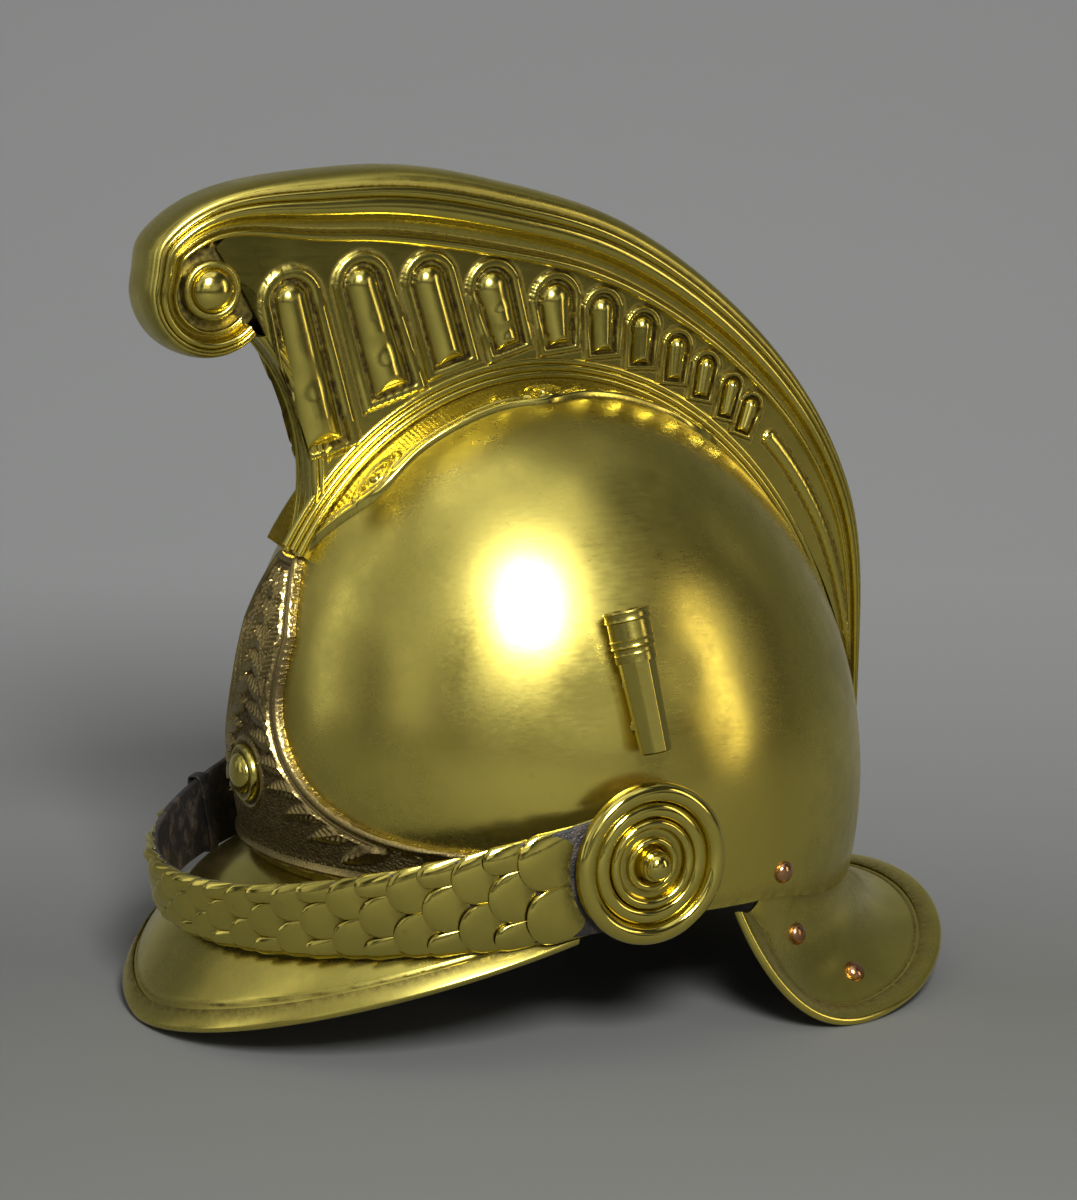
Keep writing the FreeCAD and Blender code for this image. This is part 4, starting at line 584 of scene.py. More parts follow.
# Metals: short name, colours, share of tarnish, share of the dark mix (dirt and painted shade), roughness,
# and bump's strength and depth.
METALS = (
    ("brass_skull", "brass_clean", "brass_tarnish", 0.85, 0.7, 0.23, 0.10, 0.0006),
    ("brass_crest", "brass_clean", "brass_tarnish", 0.65, 0.95, 0.13, 0.10, 0.0006),
    ("brass_scales", "brass_clean", "brass_tarnish", 0.55, 0.9, 0.07, 0.10, 0.0006),
    ("brass_rosette", "brass_clean", "brass_tarnish", 0.35, 0.8, 0.08, 0.10, 0.0006),
    ("brass_brims", "brass_clean", "brass_tarnish", 0.85, 0.8, 0.20, 0.10, 0.0006),
    ("brass_band", "brass_clean", "brass_tarnish", 0.95, 0.8, 0.24, 0.10, 0.0006),
    ("brass_plate", "plate_brass", "plate_tarnish", 0.9, 0.95, 0.20, 0.35, 0.0008),
    ("copper_rivet", "copper", "copper_tarnish", 0.7, 0.9, 0.18, 0.10, 0.0006),
    ("iron_fixing", "iron", "rust", 0.8, 0.8, 0.34, 0.3, 0.0006),
)
# Fine pits of the plate's ground: their scale and their height.
PLATE_STIPPLE = (900.0, 1.6)


def make_finishes(look):
    """All materials of the helmet, by short name."""
    metal, hide = patina_group(), leather_group()
    made = {}
    for name, clean, tarnish, share, dirt_and_shade, polish, bump, depth in METALS:
        values = {"Clean": getattr(look, clean), "Tarnish": getattr(look, tarnish), "Dirt and shade": look.dirt_and_shade,
                  "Tarnish Share": share, "Dirt and shade share": dirt_and_shade, "Polish": polish}
        stipple = PLATE_STIPPLE if name == "brass_plate" else None
        made[name] = finish_material(name, metal, values, 1.0, bump, depth, stipple)
    for name, color, worn, grain, bump in (
        ("black_leather", look.strap_leather, look.strap_worn, 750.0, 0.5),
        ("tan_leather", look.lining_leather, look.lining_worn, 620.0, 0.45),
    ):
        values = {"Hide": color, "Worn": worn, "Grain Scale": grain}
        made[name] = finish_material(name, hide, values, 0.0, bump, 0.0004)
    return made


# Skull and brims

def skull_piece(detail):
    """Outer and inner dome: latitude runs from the lower edge to the pole. Shallow dents are Gaussian
    hollows that push both domes in along their normals."""
    angle = np.linspace(0, 360, 260, endpoint=False)[:, None]
    rise = np.linspace(0, 1, 96)[None, :]
    shells = []
    for grow in (0.0, -SKULL_WALL):
        h = SKULL_HALF[2] + grow
        low = np.arcsin((edge_height(angle) - SKULL_MID_Z) / h)
        lat = low + (np.pi / 2 - low) * rise
        p = skull_surface(angle, SKULL_MID_Z + h * np.sin(lat), grow)
        dents = np.zeros(p.shape[:2])
        for x, y, z, size, depth in SKULL_DENTS:
            away = np.linalg.norm(p - np.array([x, y, z]), axis=-1)
            dents += depth * np.exp(-(away / size) ** 2)
        p = p - skull_normal(p) * (dents * detail.dent_depth / DENT_UNIT)[..., None]
        shells.append(p)
    # Painted shade: the dome darkens towards its lower edge, where it overlaps the brims.
    low_edge = np.broadcast_to(np.clip(1 - rise * 40, 0, 1) * 0.6, shells[0].shape[:2])
    s = Surface().shell(shells[0], shells[1], closed_u=True, grime=low_edge)
    put_mesh("skull_dome", s, "brass_skull", ["skull_shell"])


def peak_rim(angle):
    """Rim of the peak: an ellipse in plan that rises evenly towards its ends."""
    phi, end = np.radians(angle / PEAK_WRAP), math.radians(BRIM_END / PEAK_WRAP)
    rise = ((1 - np.cos(phi)) / (1 - math.cos(end))) ** PEAK_RISE
    z = RIM_LIFT + (EDGE_EAR - BRIM_DROP - RIM_LIFT) * rise
    return np.stack([PEAK_HALF * np.sin(phi), PEAK_MID_Y - PEAK_DEPTH * np.cos(phi), z], -1)


def nape_rim(angle):
    """Rim of the guard: an ellipse in plan, lowest at two lobes, arched behind and climbing at its ends."""
    turn, end = np.abs(angle) / NAPE_WRAP, BRIM_END / NAPE_WRAP
    phi = np.radians(angle / NAPE_WRAP)
    low = math.cos(math.radians(NAPE_LOBE)) ** NAPE_REAR
    level = NAPE_REAR_Z * (np.clip(np.cos(phi), 0, 1) ** NAPE_REAR - low)
    climb = (np.clip(turn - NAPE_LOBE, 0, None) / (end - NAPE_LOBE)) ** NAPE_RISE
    z = RIM_LIFT + np.where(turn < NAPE_LOBE, level, (EDGE_EAR - BRIM_DROP - RIM_LIFT) * climb)
    return np.stack([NAPE_HALF * np.sin(phi), NAPE_MID_Y + NAPE_DEPTH * np.cos(phi), z], -1)


def brim_surface(rear, sag, rows=64):
    """Upper face of a brim: at each turn a quadratic from the skull's edge, through a bowed middle, to the
    rim. Also its normals and the skull's edge it starts from."""
    angle = np.linspace(-BRIM_END, BRIM_END, BRIM_COLUMNS)
    rim = nape_rim(angle) if rear else peak_rim(angle)
    where = 180.0 - angle if rear else angle
    z = np.minimum(edge_height(where), EDGE_FRONT - SEAT_GAP) - COVER_GAP
    start = skull_surface(where, z, -SKULL_WALL - COVER_GAP)
    run = rim - start
    along = unit(run)
    up = unit(np.array([0, 0, 1.0]) - along * along[:, 2:])
    middle = (start + rim) / 2 - up * (np.linalg.norm(run, axis=1) * sag)[:, None]
    t = np.linspace(0, 1, rows)[None, :, None]
    a, m, b = start[:, None], middle[:, None], rim[:, None]
    p = a * (2 * t - 1) * (t - 1) + m * 4 * t * (1 - t) + b * t * (2 * t - 1)
    normal = surface_normals(p)
    normal *= np.sign((normal * up[:, None]).sum(-1, keepdims=True))
    top = skull_surface(where, z + COLLAR_HEIGHT, -SKULL_WALL - COVER_GAP)
    return p, normal, top


def brim_piece(name, rear, sag, node, line):
    """The brim's sheet between its upper face and the same face lowered by its thickness, with a collar
    inside the skull and one engraved line along the rim, where the brim is deep enough for it."""
    p, normal, top = brim_surface(rear, sag)
    reach = np.linalg.norm(p[:, -1:] - p, axis=-1)
    wide = np.linalg.norm(p[:, -1] - p[:, 0], axis=-1) > 2 * line
    groove = np.exp(-((reach - line) / LINE_WIDTH) ** 2) * wide[:, None]
    outer = p - normal * (groove * LINE_DEPTH)[..., None]
    inner = p - normal * SHEET
    collar = p[:, :1] + (top - p[:, 0])[:, None] * np.linspace(1, 0.1, COLLAR_ROWS)[None, :, None]
    wall = unit(collar[:, 0] - np.array([0, SKULL_MID_Y, 0])) * [1, 1, 0]
    outer = np.concatenate([collar, outer], 1)
    inner = np.concatenate([collar - wall[:, None] * SHEET, inner], 1)
    # Painted shade: the sheet darkens at its root by the skull and along the engraved line, partly standing
    # for dirt.
    root = np.clip(1 - np.arange(outer.shape[1]) / 11.0, 0, 1) * 0.9
    dirt_and_shade = np.broadcast_to(root, outer.shape[:2]).copy()
    dirt_and_shade[:, COLLAR_ROWS:] = np.maximum(dirt_and_shade[:, COLLAR_ROWS:], groove)
    s = Surface().shell(outer, inner, grime=dirt_and_shade)
    put_mesh(name, s, "brass_brims", [node])


def binding_piece(name, rear, sag, node):
    """A folded strip round the rim: two parallel half circles joined by flat laps, with rounded lips."""
    p, normal = brim_surface(rear, sag)[:2]
    rim, lift = p[:, -1], normal[:, -1]
    back = unit(p[:, -8] - rim)
    length = np.linalg.norm(rim - p[:, 0], axis=1)
    reach = np.minimum(BINDING_REACH, BINDING_SHARE * length)[:, None]
    mid, inner_r = -SHEET / 2, SHEET / 2 + BINDING_GAP
    outer_r = inner_r + BINDING_SHEET
    turn = np.linspace(np.pi / 2, -np.pi / 2, 13)
    lip = np.linspace(0, np.pi, 5)
    half = BINDING_SHEET / 2
    loop = [(-outer_r * np.cos(a), mid + outer_r * np.sin(a), 0.0) for a in turn]
    loop += [(half * np.sin(a), mid - inner_r - half - half * np.cos(a), 1.0) for a in lip]
    loop += [(-inner_r * np.cos(a), mid + inner_r * np.sin(a), 0.0) for a in turn[::-1]]
    loop += [(half * np.sin(a), mid + inner_r + half - half * np.cos(a), 1.0) for a in lip]
    loop = np.array(loop)
    along = loop[None, :, 0] + reach * loop[None, :, 2]
    rings = rim[:, None] + back[:, None] * along[..., None] + lift[:, None] * loop[None, :, 1, None]
    # Painted shade on the binding's lips, where it folds round the sheet's edge.
    dirt_and_shade = np.broadcast_to(loop[:, 2] * 0.9, rings.shape[:2])
    put_mesh(name, Surface().sweep(rings, dirt_and_shade), "brass_brims", [node])


def brims():
    """The peak and the nape guard, each with its binding."""
    brim_piece("front_peak_sheet", False, PEAK_SAG, "front_peak", PEAK_LINE)
    binding_piece("front_peak_edge", False, PEAK_SAG, "front_peak_binding")
    brim_piece("nape_guard_sheet", True, NAPE_SAG, "nape_guard", NAPE_LINE)
    binding_piece("nape_guard_edge", True, NAPE_SAG, "nape_guard_binding")


# Crest

def crest_line():
    """The crest's outline as even stations: the scroll's arc, then a natural curve through the spine's rows
    to the tail. Also the direction into the crest, the profile's depth and its half width."""
    angle = np.radians(np.linspace(VOLUTE_END, VOLUTE_TOP, ARC_STEPS))
    arc = VOLUTE + VOLUTE_RADIUS * np.stack([np.zeros(ARC_STEPS), np.cos(angle), np.sin(angle)], -1)
    meet = SPINE_STARTS[1]
    rows = np.zeros((len(SPINE_SHARES) + 3, 3))
    rows[:3] = arc[list(SPINE_STARTS)]
    rows[3:, 1] = VOLUTE[1] + (TAIL_Y - VOLUTE[1]) * SPINE_SHARES[:, 0]
    rows[3:, 2] = TAIL_Z + (CREST_TOP_Z - TAIL_Z) * SPINE_SHARES[:, 1]
    spine = natural_curve(rows, 1200)
    begin = int(np.linalg.norm(spine[:400] - arc[meet], axis=1).argmin())
    arc_length = VOLUTE_RADIUS * math.radians(VOLUTE_END - VOLUTE_TOP)
    line = resample(np.concatenate([arc[:meet + 1], spine[begin + 1:]]), CREST_STEPS)
    step = np.linalg.norm(line[1] - line[0])
    run = np.arange(CREST_STEPS) * step
    rest = run[-1] - arc_length
    share = np.where(run < arc_length, SCROLL_SHARE * run / arc_length,
                     SCROLL_SHARE + (1 - SCROLL_SHARE) * (run - arc_length) / rest)
    along = unit(smooth_line(np.gradient(line, axis=0), 9))
    inward = np.stack([np.zeros(CREST_STEPS), along[:, 2], -along[:, 1]], -1)
    table = np.linspace(0, 1, len(DEPTH_SHARES))
    depth = CORNICE_DEPTH * smooth_line(np.interp(share, table, DEPTH_SHARES), 25)
    width = CORNICE_HALF * smooth_line(np.interp(share, table, WIDTH_SHARES), 25)
    first = int(np.argmax(run >= arc_length + rest * WEB_START))
    return line, inward, depth, width, first


def crest_sweep(profile, side=1.0):
    """The profile, in shares of the half width and the depth, carried along the crest's line."""
    line, inward, depth, width = crest_line()[:4]
    down = inward[:, None] * (depth[:, None] * profile[None, :, 1])[..., None]
    out = np.zeros((len(line), len(profile), 3))
    out[..., 0] = side * width[:, None] * profile[None, :, 0]
    return line[:, None] + down + out


def crest_mouldings():
    """The crowned band, and on each side a cornice of three beads and a cove under it."""
    a = np.linspace(-np.pi / 2, np.pi / 2, 33)
    crown = np.stack([CROWN_HALF * np.sign(np.sin(a)) * np.abs(np.sin(a)) ** CROWN_POWER,
                      CROWN_RISE * (1 - np.cos(a) ** CROWN_POWER)], -1)
    crown = np.concatenate([crown, [[CROWN_BACK, CROWN_BACK_DEPTH], [-CROWN_BACK, CROWN_BACK_DEPTH]]])
    # Painted shade on the band's outer edges and its back, where it meets the cornices.
    dirt_and_shade = np.zeros(len(crown))
    dirt_and_shade[[0, 1, 31, 32, 33, 34]] = (0.9, 0.35, 0.35, 0.9, 1.0, 1.0)
    rings = crest_sweep(crown)
    s = Surface().sweep(rings, np.broadcast_to(dirt_and_shade, rings.shape[:2]))
    put_mesh("crest_crown_band", s, "brass_band", ["crest_top_band"])
    nodes = [(10.6, 6.3), (11.5, 10.1), (11.1, 16.4), (10.3, 17.1), (7.9, 21.6), (9.1, 22.4), (8.7, 25.8),
             (6.2, 26.0), (6.2, 6.6)]
    outline, valley = moulding(nodes, (0.42, 0.32, 0, -0.24, 0, 0.46, 0, 0))
    outline = outline / np.array([CORNICE_HALF, CORNICE_DEPTH])
    for side, name in ((1.0, "left"), (-1.0, "right")):
        rings = crest_sweep(outline, side)
        # Painted shade from the valley mask, darkest beside the beads.
        s = Surface().sweep(rings, np.broadcast_to(valley, rings.shape[:2]))
        put_mesh("crest_moulding_" + name, s, "brass_crest", ["crest_cornice_" + name])


def volute_piece():
    """Turned scroll core: a domed ball in a beaded ring on a disc, the same on both sides."""
    a = np.linspace(0, np.pi / 2, 12)
    ball = np.stack([BALL_RADIUS * np.sin(a), BALL_SEAT + BALL_HEIGHT * np.cos(a)], -1)
    ring, valley = moulding([(7.4, 10.2), (9.9, 9.2), (9.9, 5.4), (18.6, 5.0)], (-0.42, 0, 0))
    half = np.concatenate([ball, ring])
    # Painted shade at the ball's foot, in the ring's hollow and on the disc deep in the scroll.
    dirt_and_shade = np.r_[np.zeros(11), 0.9, valley]
    dirt_and_shade[-3:] = 0.9
    full = np.concatenate([half, half[::-1] * [1, -1]])
    s = Surface().lathe(VOLUTE, [1, 0, 0], full, 72, np.r_[dirt_and_shade, dirt_and_shade[::-1]])
    put_mesh("scroll_core", s, "brass_crest", ["volute_bosses"])


def foot_curve(lift, first_y, count):
    """Points over the skull's middle line, lifted off it, from the front to the tail, evenly by latitude."""
    h = SKULL_HALF[2]
    start = math.asin((skull_top(0.0, first_y) - SKULL_MID_Z) / h)
    stop = math.pi - math.asin((TAIL_Z - SKULL_MID_Z) / h)
    a = np.linspace(start, stop, count)
    z = SKULL_MID_Z + (h + lift) * np.sin(a)
    y = axis_y(z) - (SKULL_HALF[1] + lift) * np.cos(a)
    return np.stack([np.zeros(count), y, z], -1)


def web_x(y):
    """Half width of the web over y: it closes in evenly towards the tail."""
    return WEB_FRONT - (y - STRIP_FOOT[0]) * (WEB_FRONT - WEB_REAR) / (TAIL_Y - STRIP_FOOT[0])


def front_arc(offset, count):
    """Circle through the strip's top, waist and foot in the side view, moved back by an offset."""
    end = math.radians(VOLUTE_END - 360)
    ax, ay = VOLUTE[1] + VOLUTE_RADIUS * math.cos(end), VOLUTE[2] + VOLUTE_RADIUS * math.sin(end)
    (bx, by), (cx, cy) = STRIP_WAIST, STRIP_FOOT
    d = 2 * (ax * (by - cy) + bx * (cy - ay) + cx * (ay - by))
    sa, sb, sc = ax * ax + ay * ay, bx * bx + by * by, cx * cx + cy * cy
    ux = (sa * (by - cy) + sb * (cy - ay) + sc * (ay - by)) / d
    uy = (sa * (cx - bx) + sb * (ax - cx) + sc * (bx - ax)) / d
    r = math.hypot(ax - ux, ay - uy)
    a0, a1 = math.atan2(ay - uy, ax - ux), math.atan2(cy - uy, cx - ux)
    if a1 - a0 > math.pi:
        a1 -= 2 * math.pi
    if a0 - a1 > math.pi:
        a1 += 2 * math.pi
    a = np.linspace(a0, a1, count)
    return np.stack([np.zeros(count), ux + r * np.cos(a) + offset, uy + r * np.sin(a)], -1)


def gadroon_rows(edge, foot):
    """Foot, top, foot width and top width of the eleven arched gadroons."""
    tops, feet = along_line(edge, GADROON_TOPS), along_line(foot, GADROON_FEET)
    rows = []
    for k in range(len(tops) - 1):
        low, high = max(k - 1, 0), k + 1
        up = unit(tops[k] - feet[k])
        across = np.array([0, up[2], -up[1]])
        wide = GADROON_WIDTH_SHARE / (high - low)
        top_width = abs((tops[high] - tops[low]) @ across) * wide
        foot_width = abs((feet[high] - feet[low]) @ across) * wide
        lead = FIRST_CLEAR_SHARE ** k
        start = feet[k] + up * (GADROON_FOOT_CLEAR[0] + GADROON_FOOT_CLEAR[1] * lead)
        end = tops[k] - up * (GADROON_TOP_CLEAR[0] + GADROON_TOP_CLEAR[1] * lead)
        rows.append((start, end, foot_width, top_width))
    return rows


def gadroon_relief(p, edge, foot, detail):
    """Height and painted shade over the web: inside each arch the distance from its outline gives a beaded
    frame, a sunk groove and then a half round rib; the last one is a rib that thins out along the tail. Shade
    is painted in each groove, just outside each frame and round the tail rib."""
    height, dirt_and_shade = np.zeros(p.shape[:2]), np.zeros(p.shape[:2])
    rows = gadroon_rows(edge, foot)
    for k, (low, top, foot_width, top_width) in enumerate(rows):
        up = unit(top - low)
        across = np.array([0, up[2], -up[1]])
        tall = np.linalg.norm(top - low)
        c, l = np.abs((p - low) @ across), (p - low) @ up
        spring = tall - top_width / 2
        half = foot_width / 2 + (top_width - foot_width) / 2 * np.clip(l / spring, 0, 1)
        arch = top_width / 2 - np.hypot(c, l - spring)
        s = np.where(l > spring, arch, np.minimum(half - c, l * 1.3))
        rim = (foot_width + top_width) * FRAME_SHARE
        edge_run = np.clip(np.minimum(s, rim - s) / (rim * FRAME_EDGE_SHARE), 0, 1)
        frame_h = FRAME_HEIGHT * np.sqrt(1 - (1 - edge_run) ** 2)
        start = rim * GROOVE_SHARE
        wide = np.where(l > spring, top_width / 2, half)
        t = np.clip((s - start) / (wide - start), 0, 1)
        rib = np.clip(1 - (1 - t) ** 2, 0, 1) ** 0.75 * detail.rib_height / MM
        if k in DENTED_RIBS:
            wobble = np.sin(l / tall * 19 + k) * np.exp(-((l / tall - 0.36) / 0.22) ** 2)
            rib = rib * (1 - 0.13 * np.clip(wobble, -0.4, 1))
        floor = np.where((s >= rim) & (s < start), -GROOVE_DEPTH, 0)
        height = height + frame_h * (detail.gadroon_height / MM) / 0.9 + rib + floor
        # Painted shade, partly standing for dirt, in each groove and just outside each frame.
        groove = np.exp(-((s - 1.14 * rim) / (0.30 * rim)) ** 2)
        outside = np.exp(-((s + 0.5) / 0.7) ** 2)
        dirt_and_shade = np.maximum(dirt_and_shade, np.maximum(np.clip(groove * 1.3, 0, 1), outside * 0.9))
    shares = np.linspace(0, 1, TAIL_RIB_STEPS)[:, None]
    first = np.array([[GADROON_TOPS[-1], GADROON_FEET[-1]]])
    marks = first + (TAIL_RIB_END - first) * shares
    middle = (along_line(edge, marks[:, 0]) + along_line(foot, marks[:, 1])) / 2
    flat = p.reshape(-1, 3)
    away = np.linalg.norm(flat[:, None, 1:] - middle[None, :, 1:], axis=-1)
    near = away.argmin(1)
    half = TAIL_RIB_HALF * (1 - (near / (TAIL_RIB_STEPS - 1)) ** 2) + TAIL_RIB_END_HALF
    tail = np.sqrt(np.clip(1 - (away.min(1) / half) ** 2, 0, 1)) * TAIL_RIB_HEIGHT
    around = np.exp(-((away.min(1) - half - 0.5) / 0.6) ** 2) * (near < TAIL_RIB_STEPS - 3)
    return height + tail.reshape(height.shape), np.maximum(dirt_and_shade, around.reshape(height.shape) * 0.9)


def web_grid():
    """Side view points of the web: rulings from the foot's line to the cornice's lower edge, whose front
    ruling bends to the hollow front edge and whose front tops pass round the scroll's core."""
    line, inward, depth, _, first = crest_line()
    edge = line[first:] + inward[first:] * depth[first:, None]
    foot = foot_curve(FOOT_LIFT, STRIP_FOOT[0] + STRIP_DEPTH, FOOT_STEPS)
    a = np.radians(np.linspace(-40, 84, 24))
    hollow = VOLUTE + HOLLOW_RADIUS * np.stack([np.zeros(24), np.cos(a), np.sin(a)], -1)
    under = slice(first - HIDDEN_STEPS, first)
    hidden = line[under] + inward[under] * (depth[under, None] * 0.8)
    lead = np.concatenate([hollow, hidden, along_line(edge, np.linspace(0, GADROON_TOPS[0], 20))])
    front = np.linspace(0, 1, WEB_FRONT_STEPS, endpoint=False)
    k = np.linspace(0, 11, 374)
    tail = np.linspace(0, 1, WEB_TAIL_STEPS + 1)[1:]
    tops, feet = (np.r_[np.interp(k, np.arange(len(shares)), shares), shares[-1] + (1 - shares[-1]) * tail]
                  for shares in (GADROON_TOPS, GADROON_FEET))
    top = np.concatenate([along_line(lead, front), along_line(edge, smooth_line(tops, 21))])
    low = np.concatenate([along_line(foot, front * GADROON_FEET[0]), along_line(foot, smooth_line(feet, 21))])
    v = np.linspace(WEB_LOW, WEB_HIGH, WEB_HIGH_STEPS)[None, :, None]
    p = low[:, None] + (top - low)[:, None] * v
    bow = front_arc(STRIP_DEPTH - WEB_WALL, WEB_HIGH_STEPS)[::-1]
    bend = np.clip(1 - np.arange(len(top)) / WEB_FRONT_STEPS, 0, 1)[:, None, None]
    return p + (bow - p[0])[None] * bend, edge, foot


def crest_webs(detail):
    """Each web: its relief stands out of a plane that closes in towards the tail, with a flat back."""
    p, edge, foot = web_grid()
    height, dirt_and_shade = gadroon_relief(p, edge, foot, detail)
    base = web_x(p[..., 1])
    for side, name in ((1.0, "left"), (-1.0, "right")):
        outer = p.copy()
        outer[..., 0] = (base + height) * side
        ends = np.r_[np.arange(0, p.shape[1] - 1, 8), p.shape[1] - 1]
        back = p[:, ends].copy()
        back[..., 0] = (base[:, ends] - WEB_WALL) * side
        # The relief's mask paints shade in the grooves, and the flat back takes a fixed 0.6 of painted shade.
        s = Surface().grid(outer, grime=dirt_and_shade).grid(back, grime=0.6)
        s.grid(np.stack([outer[:, 0], back[:, 0]], 1)).grid(np.stack([outer[:, -1], back[:, -1]], 1))
        for end in (0, -1):
            s.cap(np.concatenate([outer[end], back[end][::-1]]))
        put_mesh("crest_web_" + name, s, "brass_crest", ["crest_side_" + name])


def foot_mouldings():
    """Three beads along the foot of each web, thinner towards the tail."""
    base = foot_curve(0.0, STRIP_FOOT[0] + FOOT_START, FOOT_STEPS)
    top = foot_curve(FOOT_LIFT + 0.4, STRIP_FOOT[0] + FOOT_START, FOOT_STEPS)
    nodes = [(-0.8, -1.2), (1.2, -1.2), (1.4, 1.1), (1.5, 3.6), (0.9, 3.9), (0.9, 6.3), (0.2, 6.5),
             (0.2, 8.8), (-0.8, 9.0)]
    outline, valley = moulding(nodes, (0, 0, 0.38, 0, 0.36, 0, 0.30, 0), 7)
    shrink = (1 - FOOT_TAPER * np.linspace(0, 1, FOOT_STEPS))[:, None]
    up = unit(top - base)
    rise = outline[None, :, 1] * (1 - FOOT_FLAT + FOOT_FLAT * shrink)
    rings = base[:, None] + up[:, None] * rise[..., None]
    s = Surface()
    for side in (1.0, -1.0):
        one = rings.copy()
        one[..., 0] = (web_x(one[..., 1]) + outline[None, :, 0] * shrink) * side
        # Painted shade in the valleys between the beads.
        s.sweep(one, np.broadcast_to(valley, one.shape[:2]))
    put_mesh("crest_foot_mouldings", s, "brass_crest", ["crest_foot_beads"])


def front_strip():
    """The hollow strip down the crest's front: a dished face between two beads, each with a ridge behind."""
    half, valley = moulding([(0.0, 1.0), (4.6, 1.0), (7.9, 2.5), (7.4, 2.9), (7.4, 4.9), (6.6, 5.3)],
                            (-0.10, 0.42, 0, 0.30, 0), 8)
    full = np.concatenate([half, half[::-1] * [-1, 1]])
    rings = front_arc(0.0, STRIP_STEPS)[:, None] + np.c_[full, np.zeros(len(full))][None]
    # Painted shade in the strip's valleys beside its beads.
    s = Surface().sweep(rings, np.broadcast_to(np.r_[valley, valley[::-1]], rings.shape[:2]))
    put_mesh("crest_front_edge", s, "brass_crest", ["crest_front_strip"])


def flange_half(u):
    """Half width of the flange over its length: an arched body with a swell at each eye."""
    arch = np.clip(np.sin(np.pi * np.minimum(1.0, u * 1.15 + 0.08)), 0, 1) ** 0.55
    body = FLANGE_HALF * (0.30 + 0.70 * arch)
    wave = sum(np.exp(-((u - e) / FLANGE_WAVE_REACH) ** 2) for e in FLANGE_EYES)
    whole = body * (1 - 0.25 * u) + FLANGE_WAVE * (wave - 0.5)
    front = np.clip(u / 0.11, 0, 1)
    return whole * (0.30 + 0.70 * front * (2 - front))


def crest_flanges(detail):
    """Sheet on the skull from the web to the wavy edge: a bead along the edge, fine combed lines across,
    and an oval ring round each eye."""
    y0, y1 = STRIP_FOOT[0], TAIL_Y - CORNICE_DEPTH
    rows = foot_curve(0.0, y0, 560)[:, 1]
    y = rows[rows <= y1][:, None]
    u = (y - y0) / (y1 - y0)
    half = flange_half(u)
    t = np.linspace(0, 1, 54)[None, :]
    x = FLANGE_INNER + (half - FLANGE_INNER) * t
    across = half - x
    bead = np.sqrt(np.clip(1 - ((across - 1.1) / 1.1) ** 2, 0, 1)) * 0.75
    line = np.exp(-((across - 3.6) / 0.45) ** 2) * 0.35
    comb = np.abs(np.sin(np.pi * u * (y1 - y0) / (detail.comb_pitch / MM))) * 0.13
    comb = comb * np.clip((across - 4.2) / 0.8, 0, 1)
    ring, inside = np.zeros_like(x), np.zeros_like(x)
    for e in FLANGE_EYES:
        centre_x, centre_y = flange_half(np.array(e)) - EYE_INSET, y0 + (y1 - y0) * e
        run = np.hypot((x - centre_x) / 4.6, (y - centre_y) / 7.4)
        ring = ring + np.sqrt(np.clip(1 - ((run - 1.0) / 0.17) ** 2, 0, 1)) * 0.5
        ring = ring + np.sqrt(np.clip(1 - ((run - 0.55) / 0.13) ** 2, 0, 1)) * 0.38
        inside = np.maximum(inside, np.clip((1.35 - run) / 0.15, 0, 1))
    relief = bead + line + comb * (1 - inside) + ring
    # Painted shade: the low ground between the lines, beads and rings is darkened a little, and the strip
    # beside the web's foot strongly.
    dirt_and_shade = np.clip(1 - relief / 0.30, 0, 1) * np.clip((across - 2.0) / 0.8, 0, 1) * 0.34
    dirt_and_shade = np.maximum(dirt_and_shade, np.clip(1 - np.abs(x - web_x(y) - 2.6) / 1.5, 0, 1) * 0.9)
    for side, name in ((1.0, "left"), (-1.0, "right")):
        sheets = []
        for grow in (FLANGE_SHEET, 0.05):
            z = skull_top(x, y, grow)
            p = np.stack(np.broadcast_arrays(x, y, z), -1)
            if grow > 1:
                p = p + skull_normal(p) * relief[..., None]
            sheets.append(p * np.array([side, 1, 1]))
        s = Surface().shell(sheets[0], sheets[1], grime=dirt_and_shade)
        put_mesh("crest_foot_flange_" + name, s, "brass_crest", ["crest_flange_" + name])
    s = Surface()
    for e in FLANGE_EYES:
        x = float(flange_half(np.array(e))) - EYE_INSET
        y = y0 + (y1 - y0) * e
        for side in (1.0, -1.0):
            point = np.array([x * side, y, float(skull_top(x, y))])
            normal = skull_normal(point)
            profile = np.concatenate([[[0.0, -0.2]], dome_profile(1.9, 1.3, 7, 0.3)])
            s.lathe(point + normal * FLANGE_SHEET, normal, profile, 24)
    put_mesh("flange_screw_heads", s, "brass_crest", ["flange_studs"])


# Front plate

def plate_rows(count_neck, count_sweep):
    """Heights and half widths of the plate: clipped neck, quarter ellipse sweep, then the wings' ends."""
    bottom, wing, neck, top = PLATE_Z
    wide, narrow = PLATE_HALF
    a = np.linspace(np.pi / 2, 0, count_sweep)
    sweep_z = neck - (neck - wing) * np.sin(a)
    sweep_x = narrow + (wide - narrow) * (1 - np.cos(a))
    neck_z = np.linspace(neck, top, count_neck)[1:]
    clip_z = (neck, top - narrow * 1.3, top - narrow * 0.7, top - 1.0, top)
    neck_x = np.interp(neck_z, clip_z, (narrow, narrow, narrow * 0.75, narrow * 0.42, narrow * 0.36))
    z = np.r_[np.linspace(bottom, wing, PLATE_END_STEPS, endpoint=False), sweep_z, neck_z]
    return z, np.r_[np.full(PLATE_END_STEPS, wide), sweep_x, neck_x]


